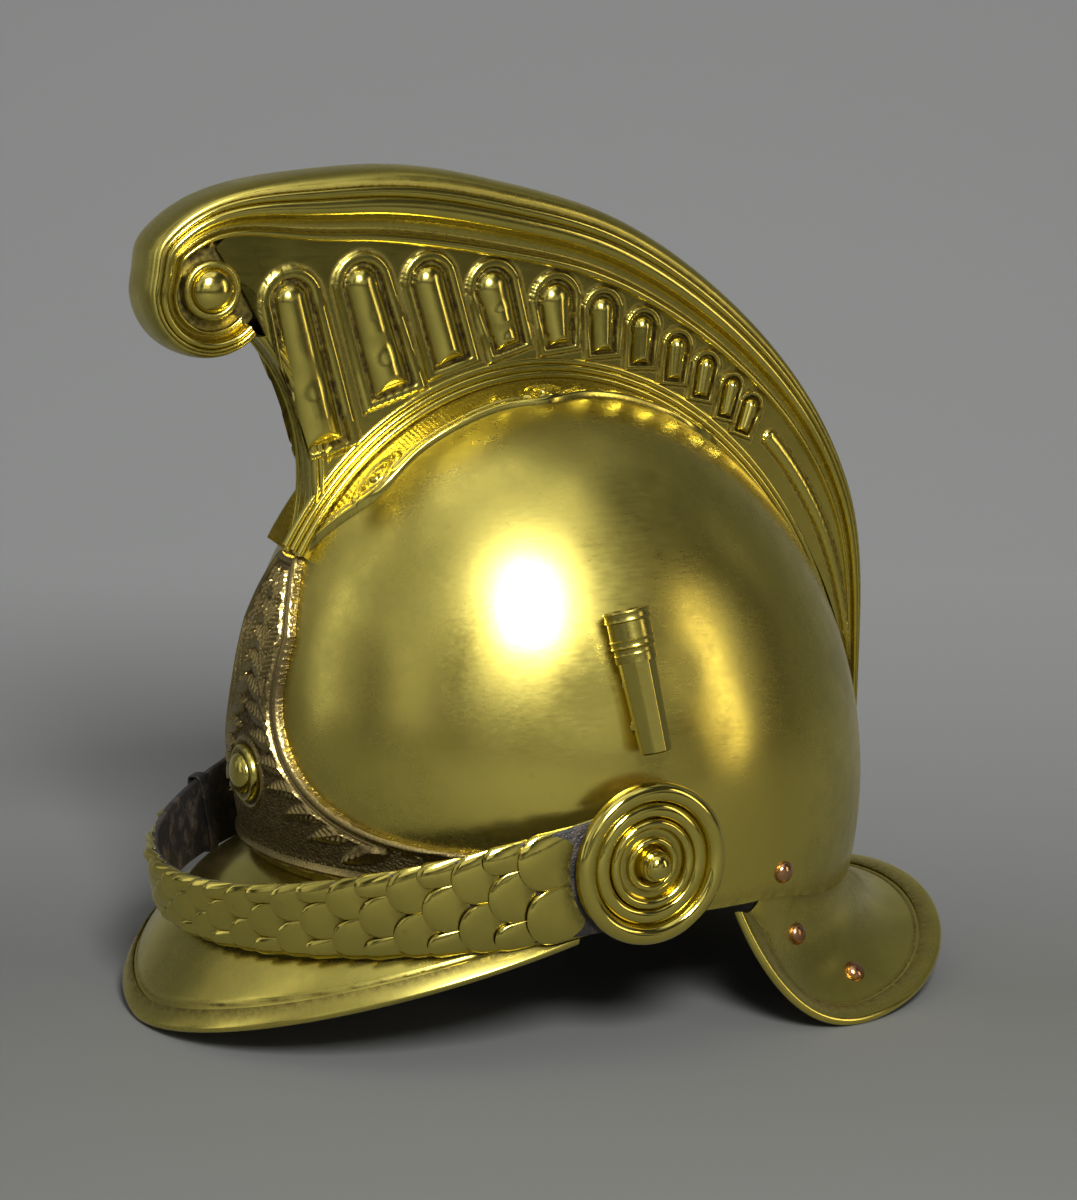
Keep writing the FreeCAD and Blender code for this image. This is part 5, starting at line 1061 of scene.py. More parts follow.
def leaf_relief(x, z, place_x, place_z, turn, length):
    """Height of one laurel leaf: a pointed oval with a raised midrib and slanting veins."""
    a = math.radians(turn)
    s = ((x - place_x) * math.sin(a) + (z - place_z) * math.cos(a)) / (length / 2)
    c = (x - place_x) * math.cos(a) - (z - place_z) * math.sin(a)
    half = length * 0.18 * np.clip(1 - s * s, 0, 1) ** 0.7 * (1 - 0.25 * s)
    run = np.abs(c) / np.maximum(half, 0.05)
    body = np.sqrt(np.clip(1 - run * run, 0, 1))
    rib = np.exp(-(c / 0.45) ** 2) * 0.45
    veins = 0.16 * np.cos((s * length / 2 - np.abs(c) * 0.9) * 2 * np.pi / 2.1)
    inside = (np.abs(s) < 1) & (run < 1)
    return np.where(inside, 0.45 + body + rib + veins, 0.0)


def outline_distance(x, z, half, z_rows):
    """Distance of each point of the plate from its outline, in slices of the outline to save memory."""
    right = np.stack([half, z_rows], -1)
    outline = np.concatenate([right, right[::-1] * [-1, 1]])
    outline = resample(np.concatenate([outline, outline[:1]]), OUTLINE_STEPS)
    flat = np.stack([x, z], -1).reshape(-1, 2)
    away = np.full(len(flat), np.inf)
    for part in np.array_split(outline, OUTLINE_SLICES):
        away = np.minimum(away, np.linalg.norm(flat[:, None] - part[None], axis=-1).min(1))
    return away.reshape(x.shape)


def laurel_relief(side, z):
    """Height of the laurel at a distance to the side: a bowed stem, three leaves at each node, and a berry
    at every second node."""
    stem_t = np.linspace(0, 1, 120)
    stem_x = STEM_TOP[0] + STEM_RUN[0] * stem_t ** 2.1
    stem_z = STEM_TOP[1] - STEM_RUN[1] * (1 - (1 - stem_t) ** 1.35)
    reach = np.full(side.shape, np.inf)
    for sx, sz in zip(stem_x, stem_z):
        reach = np.minimum(reach, np.hypot(side - sx, z - sz))
    relief = np.sqrt(np.clip(1 - (reach / STEM_HALF) ** 2, 0, 1)) * STEM_HEIGHT
    for i, t in enumerate(np.linspace(0.03, 0.96, LEAF_NODES)):
        k = int(t * 118)
        sx, sz = stem_x[k], stem_z[k]
        heading = math.degrees(math.atan2(sx - stem_x[k + 1], sz - stem_z[k + 1]))
        for swing, length in LEAF_SETS:
            turn = heading + swing
            cx = sx + math.sin(math.radians(turn)) * LEAF_OFFSET
            cz = sz + math.cos(math.radians(turn)) * LEAF_OFFSET
            relief = np.maximum(relief, leaf_relief(side, z, cx, cz, turn, length))
        if i % 2:
            bx = sx + math.sin(math.radians(heading + 90)) * BERRY_OFFSET
            bz = sz + math.cos(math.radians(heading + 90)) * BERRY_OFFSET
            berry = np.hypot(side - bx, z - bz) / BERRY_RADIUS
            relief = np.maximum(relief, np.sqrt(np.clip(1 - berry ** 2, 0, 1)) * BERRY_HEIGHT)
    return relief


def front_plate_piece(detail):
    """Embossed plate on the skull's front: a bead along its outline, laurel branches with berries on a
    stippled ground, and a shallow ring where the boss stands."""
    z_rows, half = plate_rows(96, 92)
    share = np.linspace(-1, 1, 301)[:, None]
    x = share * half[None, :]
    z = np.broadcast_to(z_rows[None, :], x.shape)
    away = outline_distance(x, z, half, z_rows)
    bead = np.sqrt(np.clip(1 - ((away - BORDER_HALF) / BORDER_HALF) ** 2, 0, 1)) * detail.plate_bead / MM
    fillet = np.exp(-((away - 4.2) / 0.5) ** 2) * 0.5
    ring = np.hypot(x, z - BOSS_Z)
    relief = np.where(ring < BOSS_CLEAR, 0.0, laurel_relief(np.abs(x), z))
    relief = relief + np.sqrt(np.clip(1 - (ring - BOSS_RING) ** 2, 0, 1)) * 0.9
    clear = np.clip((away - 4.6) / 0.8, 0, 1)
    height = np.maximum(bead + fillet, relief * clear)
    # Painted shade, partly standing for dirt, on the low ground round the laurel and inside the bead; the
    # stipple's pits use the same mask.
    ground = np.clip(1 - height / 0.25, 0, 1)
    p = np.stack([x, skull_front(x, z, PLATE_SHEET), z], -1)
    outer = p + skull_normal(p) * height[..., None]
    inner = np.stack([x, skull_front(x, z, PLATE_SEAT), z], -1)
    s = Surface().shell(outer, inner, grime=ground * 0.80 + 0.05)
    piece = put_mesh("front_plate_relief", s, "brass_plate", ["front_plate", "plate_border", "plate_leaves"])
    values = np.zeros(len(piece.data.vertices), np.float32)
    piece.data.attributes["grime"].data.foreach_get("value", values)
    layer = piece.data.attributes.new("stipple", "FLOAT", "POINT")
    layer.data.foreach_set("value", np.clip(values * 1.6, 0, 1))


def plate_boss_piece():
    """Turned boss on the plate: a low rim with a dome in it."""
    rim = np.array([(0.0, -1.0), (10.0, -1.0), (10.0, 0.0), (10.0, 1.4), (9.4, 2.2), (8.2, 2.3), (7.7, 2.0)])
    dome = dome_profile(BOSS_DOME, BOSS_RISE, 14)
    dome[:, 1] += BOSS_SEAT
    rows = np.concatenate([rim, dome])
    base = np.array([0.0, float(skull_front(0.0, BOSS_Z, PLATE_SHEET)), BOSS_Z])
    # Painted shade in the groove where the dome meets its rim.
    dirt_and_shade = np.zeros(len(rows))
    dirt_and_shade[5:8] = 0.8
    s = Surface().lathe(base, skull_normal(base), rows, 64, dirt_and_shade)
    put_mesh("plate_round_boss", s, "brass_crest", ["plate_boss"])


# Chinstrap

def loop_point(t):
    """Point, outward direction and forward direction on the strap's loop, an ellipse in its own level
    plane; t is in degrees from the front."""
    a = np.radians(t)
    zero = np.zeros_like(a)
    p = np.stack([STRAP_HALF * np.sin(a), -STRAP_REACH * np.cos(a), zero], -1)
    out = unit(np.stack([np.sin(a) / STRAP_HALF, -np.cos(a) / STRAP_REACH, zero], -1))
    ahead = np.stack([out[..., 1], -out[..., 0], zero], -1)
    return p, out, ahead


def set_strap(p):
    """Turns points from the strap's level plane to its droop about the pivots."""
    a = math.radians(STRAP_DROOP)
    y = p[..., 1] * math.cos(a) - p[..., 2] * math.sin(a)
    z = p[..., 1] * math.sin(a) + p[..., 2] * math.cos(a)
    return np.stack([p[..., 0], y, z], -1) + PIVOT


def strap_width(p):
    """Width of the strap at points of its level plane: it narrows evenly towards the front."""
    share = np.clip(-p[..., 1] / STRAP_REACH, 0, 1)
    return STRAP_WIDTHS[0] + (STRAP_WIDTHS[1] - STRAP_WIDTHS[0]) * share


def leather_half(stop):
    """A strap of leather with a round eye end: its rounded outline is carried from behind the pivot round
    the loop, and the half width behind the pivot follows a circle."""
    turns = np.linspace(90.0, stop, 150)
    p, out = loop_point(turns)[:2]
    half = strap_width(p) / 2
    back = STRAP_WIDTHS[0] / 2 * np.sin(np.linspace(np.pi / 2, 0, 24, endpoint=False))[:, None]
    eye = p[:1] + np.array([[0, 1, 0]]) * back
    eye_half = np.sqrt(np.clip((STRAP_WIDTHS[0] / 2) ** 2 - back[:, 0] ** 2, 0.6, None))
    p = np.concatenate([eye, p])
    out = np.concatenate([np.repeat(out[:1], len(eye), 0), out])
    half = np.concatenate([eye_half, half])
    r = STRAP_LEATHER / 2
    a = np.linspace(-np.pi / 2, np.pi / 2, 7)
    away = np.concatenate([np.sin(a) * r + r, -np.sin(a) * r + r])
    side = np.r_[np.ones(7), -np.ones(7)]
    inset = np.r_[(np.cos(a) - 1) * LEATHER_EDGE, (1 - np.cos(a)) * LEATHER_EDGE]
    rings = p[:, None] + out[:, None] * away[None, :, None]
    rings[..., 2] += half[:, None] * side[None] + inset[None]
    return rings


def strap_leathers():
    """Both leather halves; the left one overlaps the middle, and the right one starts beyond it."""
    left = set_strap(leather_half(SEAM_GAP_TURN - SEAM_TURN))
    put_mesh("strap_leather_near", Surface().sweep(left), "black_leather",
             ["strap_leather_left"], "chinstrap")
    right = mirrored(set_strap(leather_half(SEAM_TURN)))
    put_mesh("strap_leather_far", Surface().sweep(right), "black_leather",
             ["strap_leather_right"], "chinstrap")


def strap_ends():
    """The tongue: a strip with a rounded section whose half width closes to a round tip. The keeper: a
    rounded section carried round both layers of the strap."""
    turns = np.linspace(*TONGUE_TURNS, 90)
    p, out = loop_point(turns)[:2]
    tip = np.clip((turns + TONGUE_TIP_TURN) / TONGUE_TIP_RUN, 0, 1)
    half = TONGUE_HALF * np.sqrt(1 - (1 - tip) ** 2)
    a = np.linspace(0, 2 * np.pi, 28, endpoint=False)
    across, away = bent(np.cos(a), 0.35), TONGUE_MIDDLE + TONGUE_THICK_HALF * bent(np.sin(a), 0.5)
    rings = p[:, None] + out[:, None] * away[None, :, None]
    rings[..., 2] += half[:, None] * across
    put_mesh("strap_tongue_end", Surface().sweep(set_strap(rings)), "black_leather",
             ["strap_tongue"], "chinstrap")
    p, out, ahead = loop_point(np.array(KEEPER_TURN))
    a = np.linspace(0, 2 * np.pi, 96, endpoint=False)
    b = np.linspace(0, 2 * np.pi, 16, endpoint=False)
    path = np.stack([(strap_width(p) / 2 + KEEPER_ROOM) * bent(np.cos(a), 0.25),
                     KEEPER_MIDDLE + KEEPER_DEPTH_HALF * bent(np.sin(a), 0.45)], -1)
    run = unit(np.roll(path, -1, 0) - np.roll(path, 1, 0))
    side = np.stack([-run[:, 1], run[:, 0]], -1)
    path = path[:, None] + side[:, None] * (KEEPER_THICK_HALF * bent(np.sin(b), 0.6))[None, :, None]
    ring = p + out * path[..., 1:] + ahead * (KEEPER_HALF * bent(np.cos(b), 0.6))[None, :, None]
    ring[..., 2] += path[..., 0]
    put_mesh("strap_keeper_loop", Surface().grid(set_strap(ring), True, True), "black_leather",
             ["strap_keeper"], "chinstrap")


def bent(wave, power):
    """A wave whose shoulders are squared out by a power below one."""
    return np.sign(wave) * np.abs(wave) ** power


def scale_turns():
    """Loop angle and pitch of each scale row, from the rosette to the front, stepped by arc length."""
    t = np.linspace(90.0, -45.0, 1081)
    p = loop_point(t)[0]
    run = np.r_[0, np.cumsum(np.linalg.norm(np.diff(p, axis=0), axis=1))]
    pitch = SCALE_PITCH * SCALE_FALL ** np.arange(SCALE_ROWS)
    starts = ROSETTE_RADIUS + 1.0 + np.r_[0, np.cumsum(pitch)[:-1]]
    return np.interp(starts, run, t), pitch


def scale_row(row, turn, pitch, lobes, detail):
    """One row of scales: a plate whose leading edge is a chain of half ellipses; each lobe is domed, the
    plate wraps a little round the leather's edges, and it tips out towards its leading edge."""
    p0, out, ahead = loop_point(np.array(turn))
    width = float(strap_width(p0))
    half = width / 2 + 0.3
    length = pitch + SCALE_LAP
    inner = [0.0] if lobes == 2 else [-half * MIDDLE_LOBE_SHARE, half * MIDDLE_LOBE_SHARE]
    cuts = np.array([-half, *inner, half])
    phase = np.linspace(0, np.pi, 19)
    across, front, lobe_r, lobe_c, lean = [], [], [], [], []
    for i, (low, high) in enumerate(zip(cuts[:-1], cuts[1:])):
        r, c = (high - low) / 2, (high + low) / 2
        bulge = min(r, length * 0.52)
        across.append(c - r * np.cos(phase))
        front.append(length - bulge + bulge * np.sin(phase))
        lobe_r.append(np.full(19, r))
        lobe_c.append(np.full(19, c))
        lean.append(np.full(19, math.sin(12.9 * row + 4.1 * i + 0.7)))
    across, front, lobe_r, lobe_c, lean = (
        np.concatenate(v)[:, None] for v in (across, front, lobe_r, lobe_c, lean))
    v = np.linspace(0, 1, 15)[None, :]
    root = np.zeros_like(across)
    if row == 0:
        root = np.sqrt((ROSETTE_RADIUS + 0.6) ** 2 - across ** 2) - ROSETTE_RADIUS - 1.1
    s = root + (front - root) * v
    bow = 1 - ((across - lobe_c) / lobe_r) ** 2
    swell = np.sin(np.pi * v ** 1.3 * 0.62)
    dome = detail.scale_bulge / MM * np.clip(bow, 0, 1) ** 0.7 * swell
    lip = np.clip((v - 0.90) / 0.10, 0, 1) ** 2 * 0.35
    wrap = -0.9 * (np.abs(across) / half) ** 6
    tip = v * (0.30 + 0.30 * lean) + 0.22 * lean * v * (across - lobe_c) / lobe_r
    lift = SCALE_SEAT + np.clip(s, 0, None) * SCALE_CLIMB / pitch + dome + wrap - lip + tip
    bend = s * s / (2 * SCALE_BEND)
    q = p0 + ahead * s[..., None] + out * (lift - bend)[..., None]
    q[..., 2] += across
    under = q - out * SCALE_SHEET
    # Painted shade: each scale darkens towards its root, under the row before it, and in the creases between
    # its lobes.
    grime = np.clip(1 - v * 3.2, 0, 1) * 0.9 + np.clip(1 - bow * 6, 0, 1) * 0.5
    return set_strap(q), set_strap(under), np.clip(grime, 0, 1)


def chin_scale_rows(detail):
    """Overlapping scale rows on both halves, by turns with two and three lobes."""
    turns, pitches = scale_turns()
    for side, name, rows in ((1.0, "left", SCALE_ROWS), (-1.0, "right", FAR_SCALE_ROWS)):
        s = Surface()
        for k in range(rows):
            q, under, grime = scale_row(k, turns[k], pitches[k], 2 if k % 2 == 0 else 3, detail)
            flip = np.array([side, 1, 1])
            s.shell(q * flip, under * flip, grime=grime)
        put_mesh("chin_scale_rows_" + name, s, "brass_scales", ["chin_scales_" + name], "chinstrap")


def rosette_pieces():
    """Turned rosettes with four beaded rings, and the domed knobs of their bolts."""
    nodes = [(ROSETTE_RADIUS, 0.0), (ROSETTE_RADIUS, 1.0), (21.2, 1.6), (20.7, 0.8), (15.8, 1.4), (15.3, 0.8),
             (11.9, 1.6), (11.5, 0.7), (9.3, 0.9), (6.5, 1.5), (6.1, 0.7), (5.2, 4.7), (3.1, 4.7), (3.1, 0.0)]
    rows, valley = moulding(nodes, (0, 0.46, 0, 0.30, 0, 0.58, 0, 0, 0.60, 0, 0, 0, 0), 14)
    rows = np.concatenate([rows, rows[:1]])
    valley = np.r_[valley, valley[:1]]
    s, knobs = Surface(), Surface()
    dome = dome_profile(KNOB_RADIUS, KNOB_RISE, 12)
    dome[:, 1] += KNOB_SEAT
    stem = [(0.0, -22.0), (3.0, -22.0), (3.0, 0.0), (5.0, 0.0), (5.0, 0.6), (KNOB_RADIUS, KNOB_SEAT)]
    knob = np.concatenate([np.array(stem), dome])
    for side in (1.0, -1.0):
        base = np.array([ROSETTE_SEAT * side, PIVOT[1], PIVOT[2]])
        # Painted shade in the rings' valleys, from the valley mask.
        s.lathe(base, [side, 0, 0], rows, 128, np.clip(valley - 0.3, 0, 1))
        knobs.lathe(base + np.array([KNOB_LIFT * side, 0, 0]), [side, 0, 0], knob, 48)
    put_mesh("strap_rosettes", s, "brass_rosette", ["rosettes"], "chinstrap")
    put_mesh("rosette_knobs", knobs, "brass_rosette", ["pivot_bolts"])


# Socket, rivets and lining

def socket_ends():
    """Middle of the tube's top and foot, set off the skull's side."""
    off = SOCKET_STAND_OFF + SOCKET_FOOT_RADIUS
    flare = SOCKET_TOP_RADIUS - SOCKET_FOOT_RADIUS
    top = np.array([skull_side(*SOCKET_TOP) + off + flare, *SOCKET_TOP])
    foot = np.array([skull_side(*SOCKET_FOOT) + off, *SOCKET_FOOT])
    return top, foot


def socket_pieces():
    """Tapered tube with eight soft facets and a blind bore on two saddles, and its ringed collar."""
    top, foot = socket_ends()
    axis = unit(top - foot)
    length = np.linalg.norm(top - foot)
    u = unit(np.cross(axis, [0, 0, 1]))
    v = np.cross(axis, u)
    turn = np.linspace(0, 2 * np.pi, 96, endpoint=False)
    face = (turn + np.pi / 8) % (np.pi / 4) - np.pi / 8
    facet = np.minimum(np.cos(np.pi / 8) / np.cos(face), 0.985)[:, None, None]
    rows = np.array([(0.0, 0.0), (0.86, 0.0), (1.0, 0.012), (1.0, 0.5), (1.0, 1.0)])
    radius = (SOCKET_FOOT_RADIUS + (SOCKET_TOP_RADIUS - SOCKET_FOOT_RADIUS) * rows[:, 1]) * rows[:, 0]
    ring = u * np.cos(turn)[:, None, None] + v * np.sin(turn)[:, None, None]
    outer = foot + axis * (rows[:, 1] * length)[None, :, None] + ring * facet * radius[None, :, None]
    bore_rows = np.array([(SOCKET_BORE, 0.0), (SOCKET_BORE, -SOCKET_BORE_DEPTH), (0.0, -SOCKET_BORE_DEPTH)])
    bore = top + axis * bore_rows[None, :, 1, None] + ring * bore_rows[None, :, 0, None]
    # Painted shade at the tube's foot by the skull, a little at its top, and deep in the bore.
    dirt_and_shade = np.broadcast_to([0.9, 0.7, 0.15, 0.0, 0.2, 0.8, 1.0, 1.0], (len(turn), 8))
    s = Surface().grid(np.concatenate([outer, bore], 1), closed_u=True, grime=dirt_and_shade)
    for share in SADDLE_SHARES:
        middle = foot + axis * (length * share)
        deep = middle[0] - float(skull_side(middle[1], middle[2])) + 0.6
        profile = np.array([(0.0, 0.0), (3.2, 0.0), (3.0, deep - 1.2), (3.8, deep - 0.4), (0.0, deep - 0.4)])
        s.lathe(middle, [-1, 0, 0], profile, 24)
    put_mesh("plume_tube", s, "brass_crest", ["plume_socket"])
    nodes = [(7.1, 0.0), (7.7, 0.0), (7.9, 0.5), (7.9, 3.3), (7.2, 3.7), (7.2, 9.3), (7.6, 9.7), (7.6, 12.0),
             (7.0, 12.4), (7.0, 14.4), (6.9, 15.0), (6.9, 17.0), (6.3, 17.0)]
    profile, valley = moulding(nodes, (0, 0, -0.14, 0, 0, 0, -0.16, 0, -0.14, 0, 0, 0), 8)
    profile = np.concatenate([profile, profile[:1]])
    # Painted shade in the collar's grooves.
    s = Surface().lathe(top, -axis, profile, 72, np.r_[valley, valley[:1]])
    put_mesh("plume_tube_collar", s, "brass_crest", ["socket_collar"])


def rivet_pieces():
    """Domed copper heads on short shanks: two on the skull and two on the guard, on each side."""
    places = []
    for turn in SKULL_RIVETS:
        angle = np.array(180.0 - turn)
        point = skull_surface(angle, edge_height(angle) + COLLAR_HEIGHT * 0.75)
        places.append((point, skull_normal(point), -RIVET_REACH))
    p, normal = brim_surface(True, NAPE_SAG, 101)[:2]
    turns = np.linspace(-BRIM_END, BRIM_END, BRIM_COLUMNS)
    for turn, share in GUARD_RIVETS:
        i, k = int(np.argmin(abs(turns - turn))), int(share * 100)
        places.append((p[i, k], normal[i, k], -SHEET))
    dome = dome_profile(RIVET_RADIUS, RIVET_HEIGHT, 12)
    # Painted shade under each head and round its rim on the sheet.
    dirt_and_shade = np.r_[0.0, 0.0, 0.9, 0.9, 0.8, np.zeros(len(dome) - 1)]
    s = Surface()
    for point, out, reach in places:
        shank = [[0.0, reach], [RIVET_SHANK, reach], [RIVET_SHANK, -COVER_GAP], [RIVET_RADIUS, -COVER_GAP]]
        for side in (1.0, -1.0):
            flip = np.array([side, 1, 1])
            s.lathe(point * flip, out * flip, np.concatenate([shank, dome]), 40, dirt_and_shade)
    put_mesh("copper_rivets", s, "copper_rivet", ["brim_rivets"])


def lining_pieces():
    """Leather headband as a closed ring with rounded edges, and eight soft tongues towards the crown."""
    angle = np.linspace(0, 360, 240, endpoint=False)[:, None]
    z = np.linspace(*BAND_Z, 28)[None, :]
    outer = skull_surface(angle, z, -BAND_OUTER)
    inner = skull_surface(angle, z, -BAND_INNER)
    rise = (z - BAND_Z[0]) / (BAND_Z[1] - BAND_Z[0])
    soft = 0.35 * np.sin(np.radians(angle) * 9) * np.sin(rise * np.pi)
    inner = inner - skull_normal(inner) * np.abs(soft)[..., None]
    s = Surface().shell(outer, inner, closed_u=True)
    put_mesh("lining_headband", s, "tan_leather", ["liner_headband"])
    s = Surface()
    t = np.linspace(0, 1, 50)[None, :]
    taper = np.sqrt(np.clip(1 - (t / 1.02) ** 10, 0, 1))
    spread = np.linspace(-1, 1, 25)[:, None]
    share = TONGUE_TOP_SHARE + (1 - TONGUE_TOP_SHARE) * np.cos(np.pi / 2 * t)
    rise = np.sin(np.pi / 2 * t)
    height = TONGUE_LOW_Z + (TONGUE_TOP_Z - TONGUE_LOW_Z) * rise
    for k in range(TONGUES):
        turn = np.radians(360.0 / TONGUES * (k + 0.5) + TONGUE_HALF_TURN * spread * taper)
        faces = []
        for inset in TONGUE_INSETS:
            a, b, h = (v - BAND_INNER - inset for v in SKULL_HALF)
            reach = np.sqrt(1 - ((TONGUE_LOW_Z - SKULL_MID_Z) / h) ** 2) * share
            x, y = a * reach * np.sin(turn), axis_y(height) - b * reach * np.cos(turn)
            faces.append(np.stack(np.broadcast_arrays(x, y, height - inset * rise), -1))
        s.shell(faces[0], faces[1])
    put_mesh("lining_tongues", s, "tan_leather", ["liner_tongues"])


def dress_fixings():
    """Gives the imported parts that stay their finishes, by their material slot."""
    finishes = {"brass_polished": "brass_crest", "brass_aged": "brass_brims"}
    slots = {part["node"]: part["material_slot"] for part in frame["record"]["subparts"]}
    for name, node in frame["nodes"].items():
        material = FINISHES[finishes.get(slots[name], slots[name])]
        if not node.material_slots:
            node.data.materials.append(material)
        for entry in node.material_slots:
            entry.material = material


# Stage, in metres and degrees

CAMERA_TARGET = Vector((-0.00088, -0.00094, 0.13664))
CAMERA_PLACE = Vector((1.0487, -0.5357, 0.3656))
CAMERA_ROLL = 1.5
PAPER_FRONT, PAPER_START, PAPER_BEND, PAPER_TOP, PAPER_HALF = 5.0, 0.8, 1.6, 6.0, 6.0


def add_lamp(name, place, target, size, power, color=(1, 1, 1)):
    """An area lamp at a place that faces the target."""
    data = bpy.data.lights.new(name, "AREA")
    data.shape = "RECTANGLE"
    data.size, data.size_y = size
    data.energy = power
    data.color = color
    lamp = bpy.data.objects.new(name, data)
    lamp.location = place
    lamp.rotation_euler = (Vector(target) - Vector(place)).to_track_quat("-Z", "Y").to_euler()
    bpy.context.scene.collection.objects.link(lamp)


def make_camera(stage):
    """The camera at the photograph's place with its small roll; returns its right, up and back directions."""
    back = (CAMERA_PLACE - CAMERA_TARGET).normalized()
    right = Vector((-back.y, back.x, 0)).normalized()
    up = back.cross(right)
    roll = math.radians(CAMERA_ROLL)
    rolled = right * math.cos(roll) + up * math.sin(roll)
    upright = up * math.cos(roll) - right * math.sin(roll)
    data = bpy.data.cameras.new("camera")
    data.sensor_fit = "VERTICAL"
    data.sensor_height = 36.0
    data.lens = stage.lens
    camera = bpy.data.objects.new("camera", data)
    turn = Matrix((rolled, upright, back)).transposed().to_4x4()
    camera.matrix_world = Matrix.Translation(CAMERA_PLACE) @ turn
    bpy.context.scene.collection.objects.link(camera)
    bpy.context.scene.camera = camera
    return rolled, upright, back


def make_floor(stage, back):
    """A sheet of paper under and behind the helmet: flat, then a quarter of an ellipse, then upright. Its
    colour runs from a dark floor to a light backdrop with the distance behind the helmet: a painted gradient
    of light and shade on one sheet."""
    mesh = bpy.data.meshes.new("floor")
    a = np.linspace(0, np.pi / 2, 40)
    curve = np.stack([PAPER_START + PAPER_BEND * np.sin(a), PAPER_BEND * (1 - np.cos(a))], -1)
    rows = np.concatenate([[(-PAPER_FRONT, 0.0), (0.0, 0.0)], curve, [(PAPER_START + PAPER_BEND, PAPER_TOP)]])
    behind = np.array([-back.x, -back.y, 0.0])
    behind = behind / np.linalg.norm(behind)
    beside = np.array([-behind[1], behind[0], 0.0])
    points = rows[:, None, :1] * behind + np.array([-PAPER_HALF, PAPER_HALF])[None, :, None] * beside
    points[..., 2] += rows[:, None, 1]
    quads = [(2 * i, 2 * i + 2, 2 * i + 3, 2 * i + 1) for i in range(len(rows) - 1)]
    mesh.from_pydata(points.reshape(-1, 3).tolist(), [], quads)
    mesh.polygons.foreach_set("use_smooth", np.ones(len(quads), bool))
    floor = bpy.data.objects.new("floor", mesh)
    bpy.context.scene.collection.objects.link(floor)
    material = bpy.data.materials.new("floor_paper")
    material.use_nodes = True
    n = Nodes(material.node_tree)
    shader = next(node for node in material.node_tree.nodes if node.type == "BSDF_PRINCIPLED")
    spot = n.add("ShaderNodeTexCoord").outputs["Object"]
    away = n.add("ShaderNodeVectorMath", {0: spot, 1: tuple(behind.tolist())}, operation="DOT_PRODUCT")
    # Painted light and shade: the sheet's colour ramps from dark to light with the distance behind.
    paper = n.mix(n.span(away.outputs["Value"], 0.0, PAPER_START), stage.floor_shade_color, stage.backdrop_light_color)
    material.node_tree.links.new(paper, shader.inputs["Base Color"])
    shader.inputs["Roughness"].default_value = 0.9
    mesh.materials.append(material)


def make_lamps(stage, rolled, upright, back):
    """A small key lamp above the camera, weak soft lamps round it and a warm one behind the wearer's left."""
    target, power = CAMERA_TARGET, stage.key_power
    key = rolled * 0.17 + upright * 0.39 + back * 0.90
    add_lamp("key_lamp", target + key * 1.5, target, (0.36, 0.45), power)
    high = (upright * 0.85 + back * 0.50).normalized()
    add_lamp("soft_lamp", target + high * 1.9, target, (1.9, 1.1), power * 0.16)
    add_lamp("front_lamp", Vector((-0.3, -1.6, 0.45)), target, (0.30, 1.0), power * 0.02)
    level = (rolled * 0.10 + upright * 0.12 + back).normalized()
    add_lamp("level_lamp", target + level * 1.6, target, (0.7, 0.5), power * 0.03)
    add_lamp("fill_lamp", Vector((0.3, -1.8, 1.3)), target, (1.2, 1.2), power * 0.05)
    add_lamp("glow_lamp", Vector((1.13, 1.13, 0.5)), target, (0.2, 0.9), power * 0.06, (1.0, 0.84, 0.55))


def make_room(stage):
    """Surroundings whose light comes in large soft patches."""
    world = bpy.data.worlds.new("studio")
    bpy.context.scene.world = world
    world.use_nodes = True
    shade = world.node_tree.nodes["Background"]
    n = Nodes(world.node_tree)
    around = n.add("ShaderNodeMapping", {"Vector": n.add("ShaderNodeTexCoord").outputs["Generated"],
                                         "Scale": (1.0, 1.0, 0.55), "Location": stage.room_shift}).outputs[0]
    room = n.span(n.noise(around, 2.3, 1.0, 0.4), 0.41, 0.57, 0.16, 1.75)
    shade.inputs["Color"].default_value = stage.world_color
    world.node_tree.links.new(room, shade.inputs["Strength"])


def stage_set(stage):
    """Camera, floor, lamps and surroundings."""
    rolled, upright, back = make_camera(stage)
    make_floor(stage, back)
    make_lamps(stage, rolled, upright, back)
    make_room(stage)
    bpy.context.scene.view_settings.view_transform = "Standard"


# Add-on

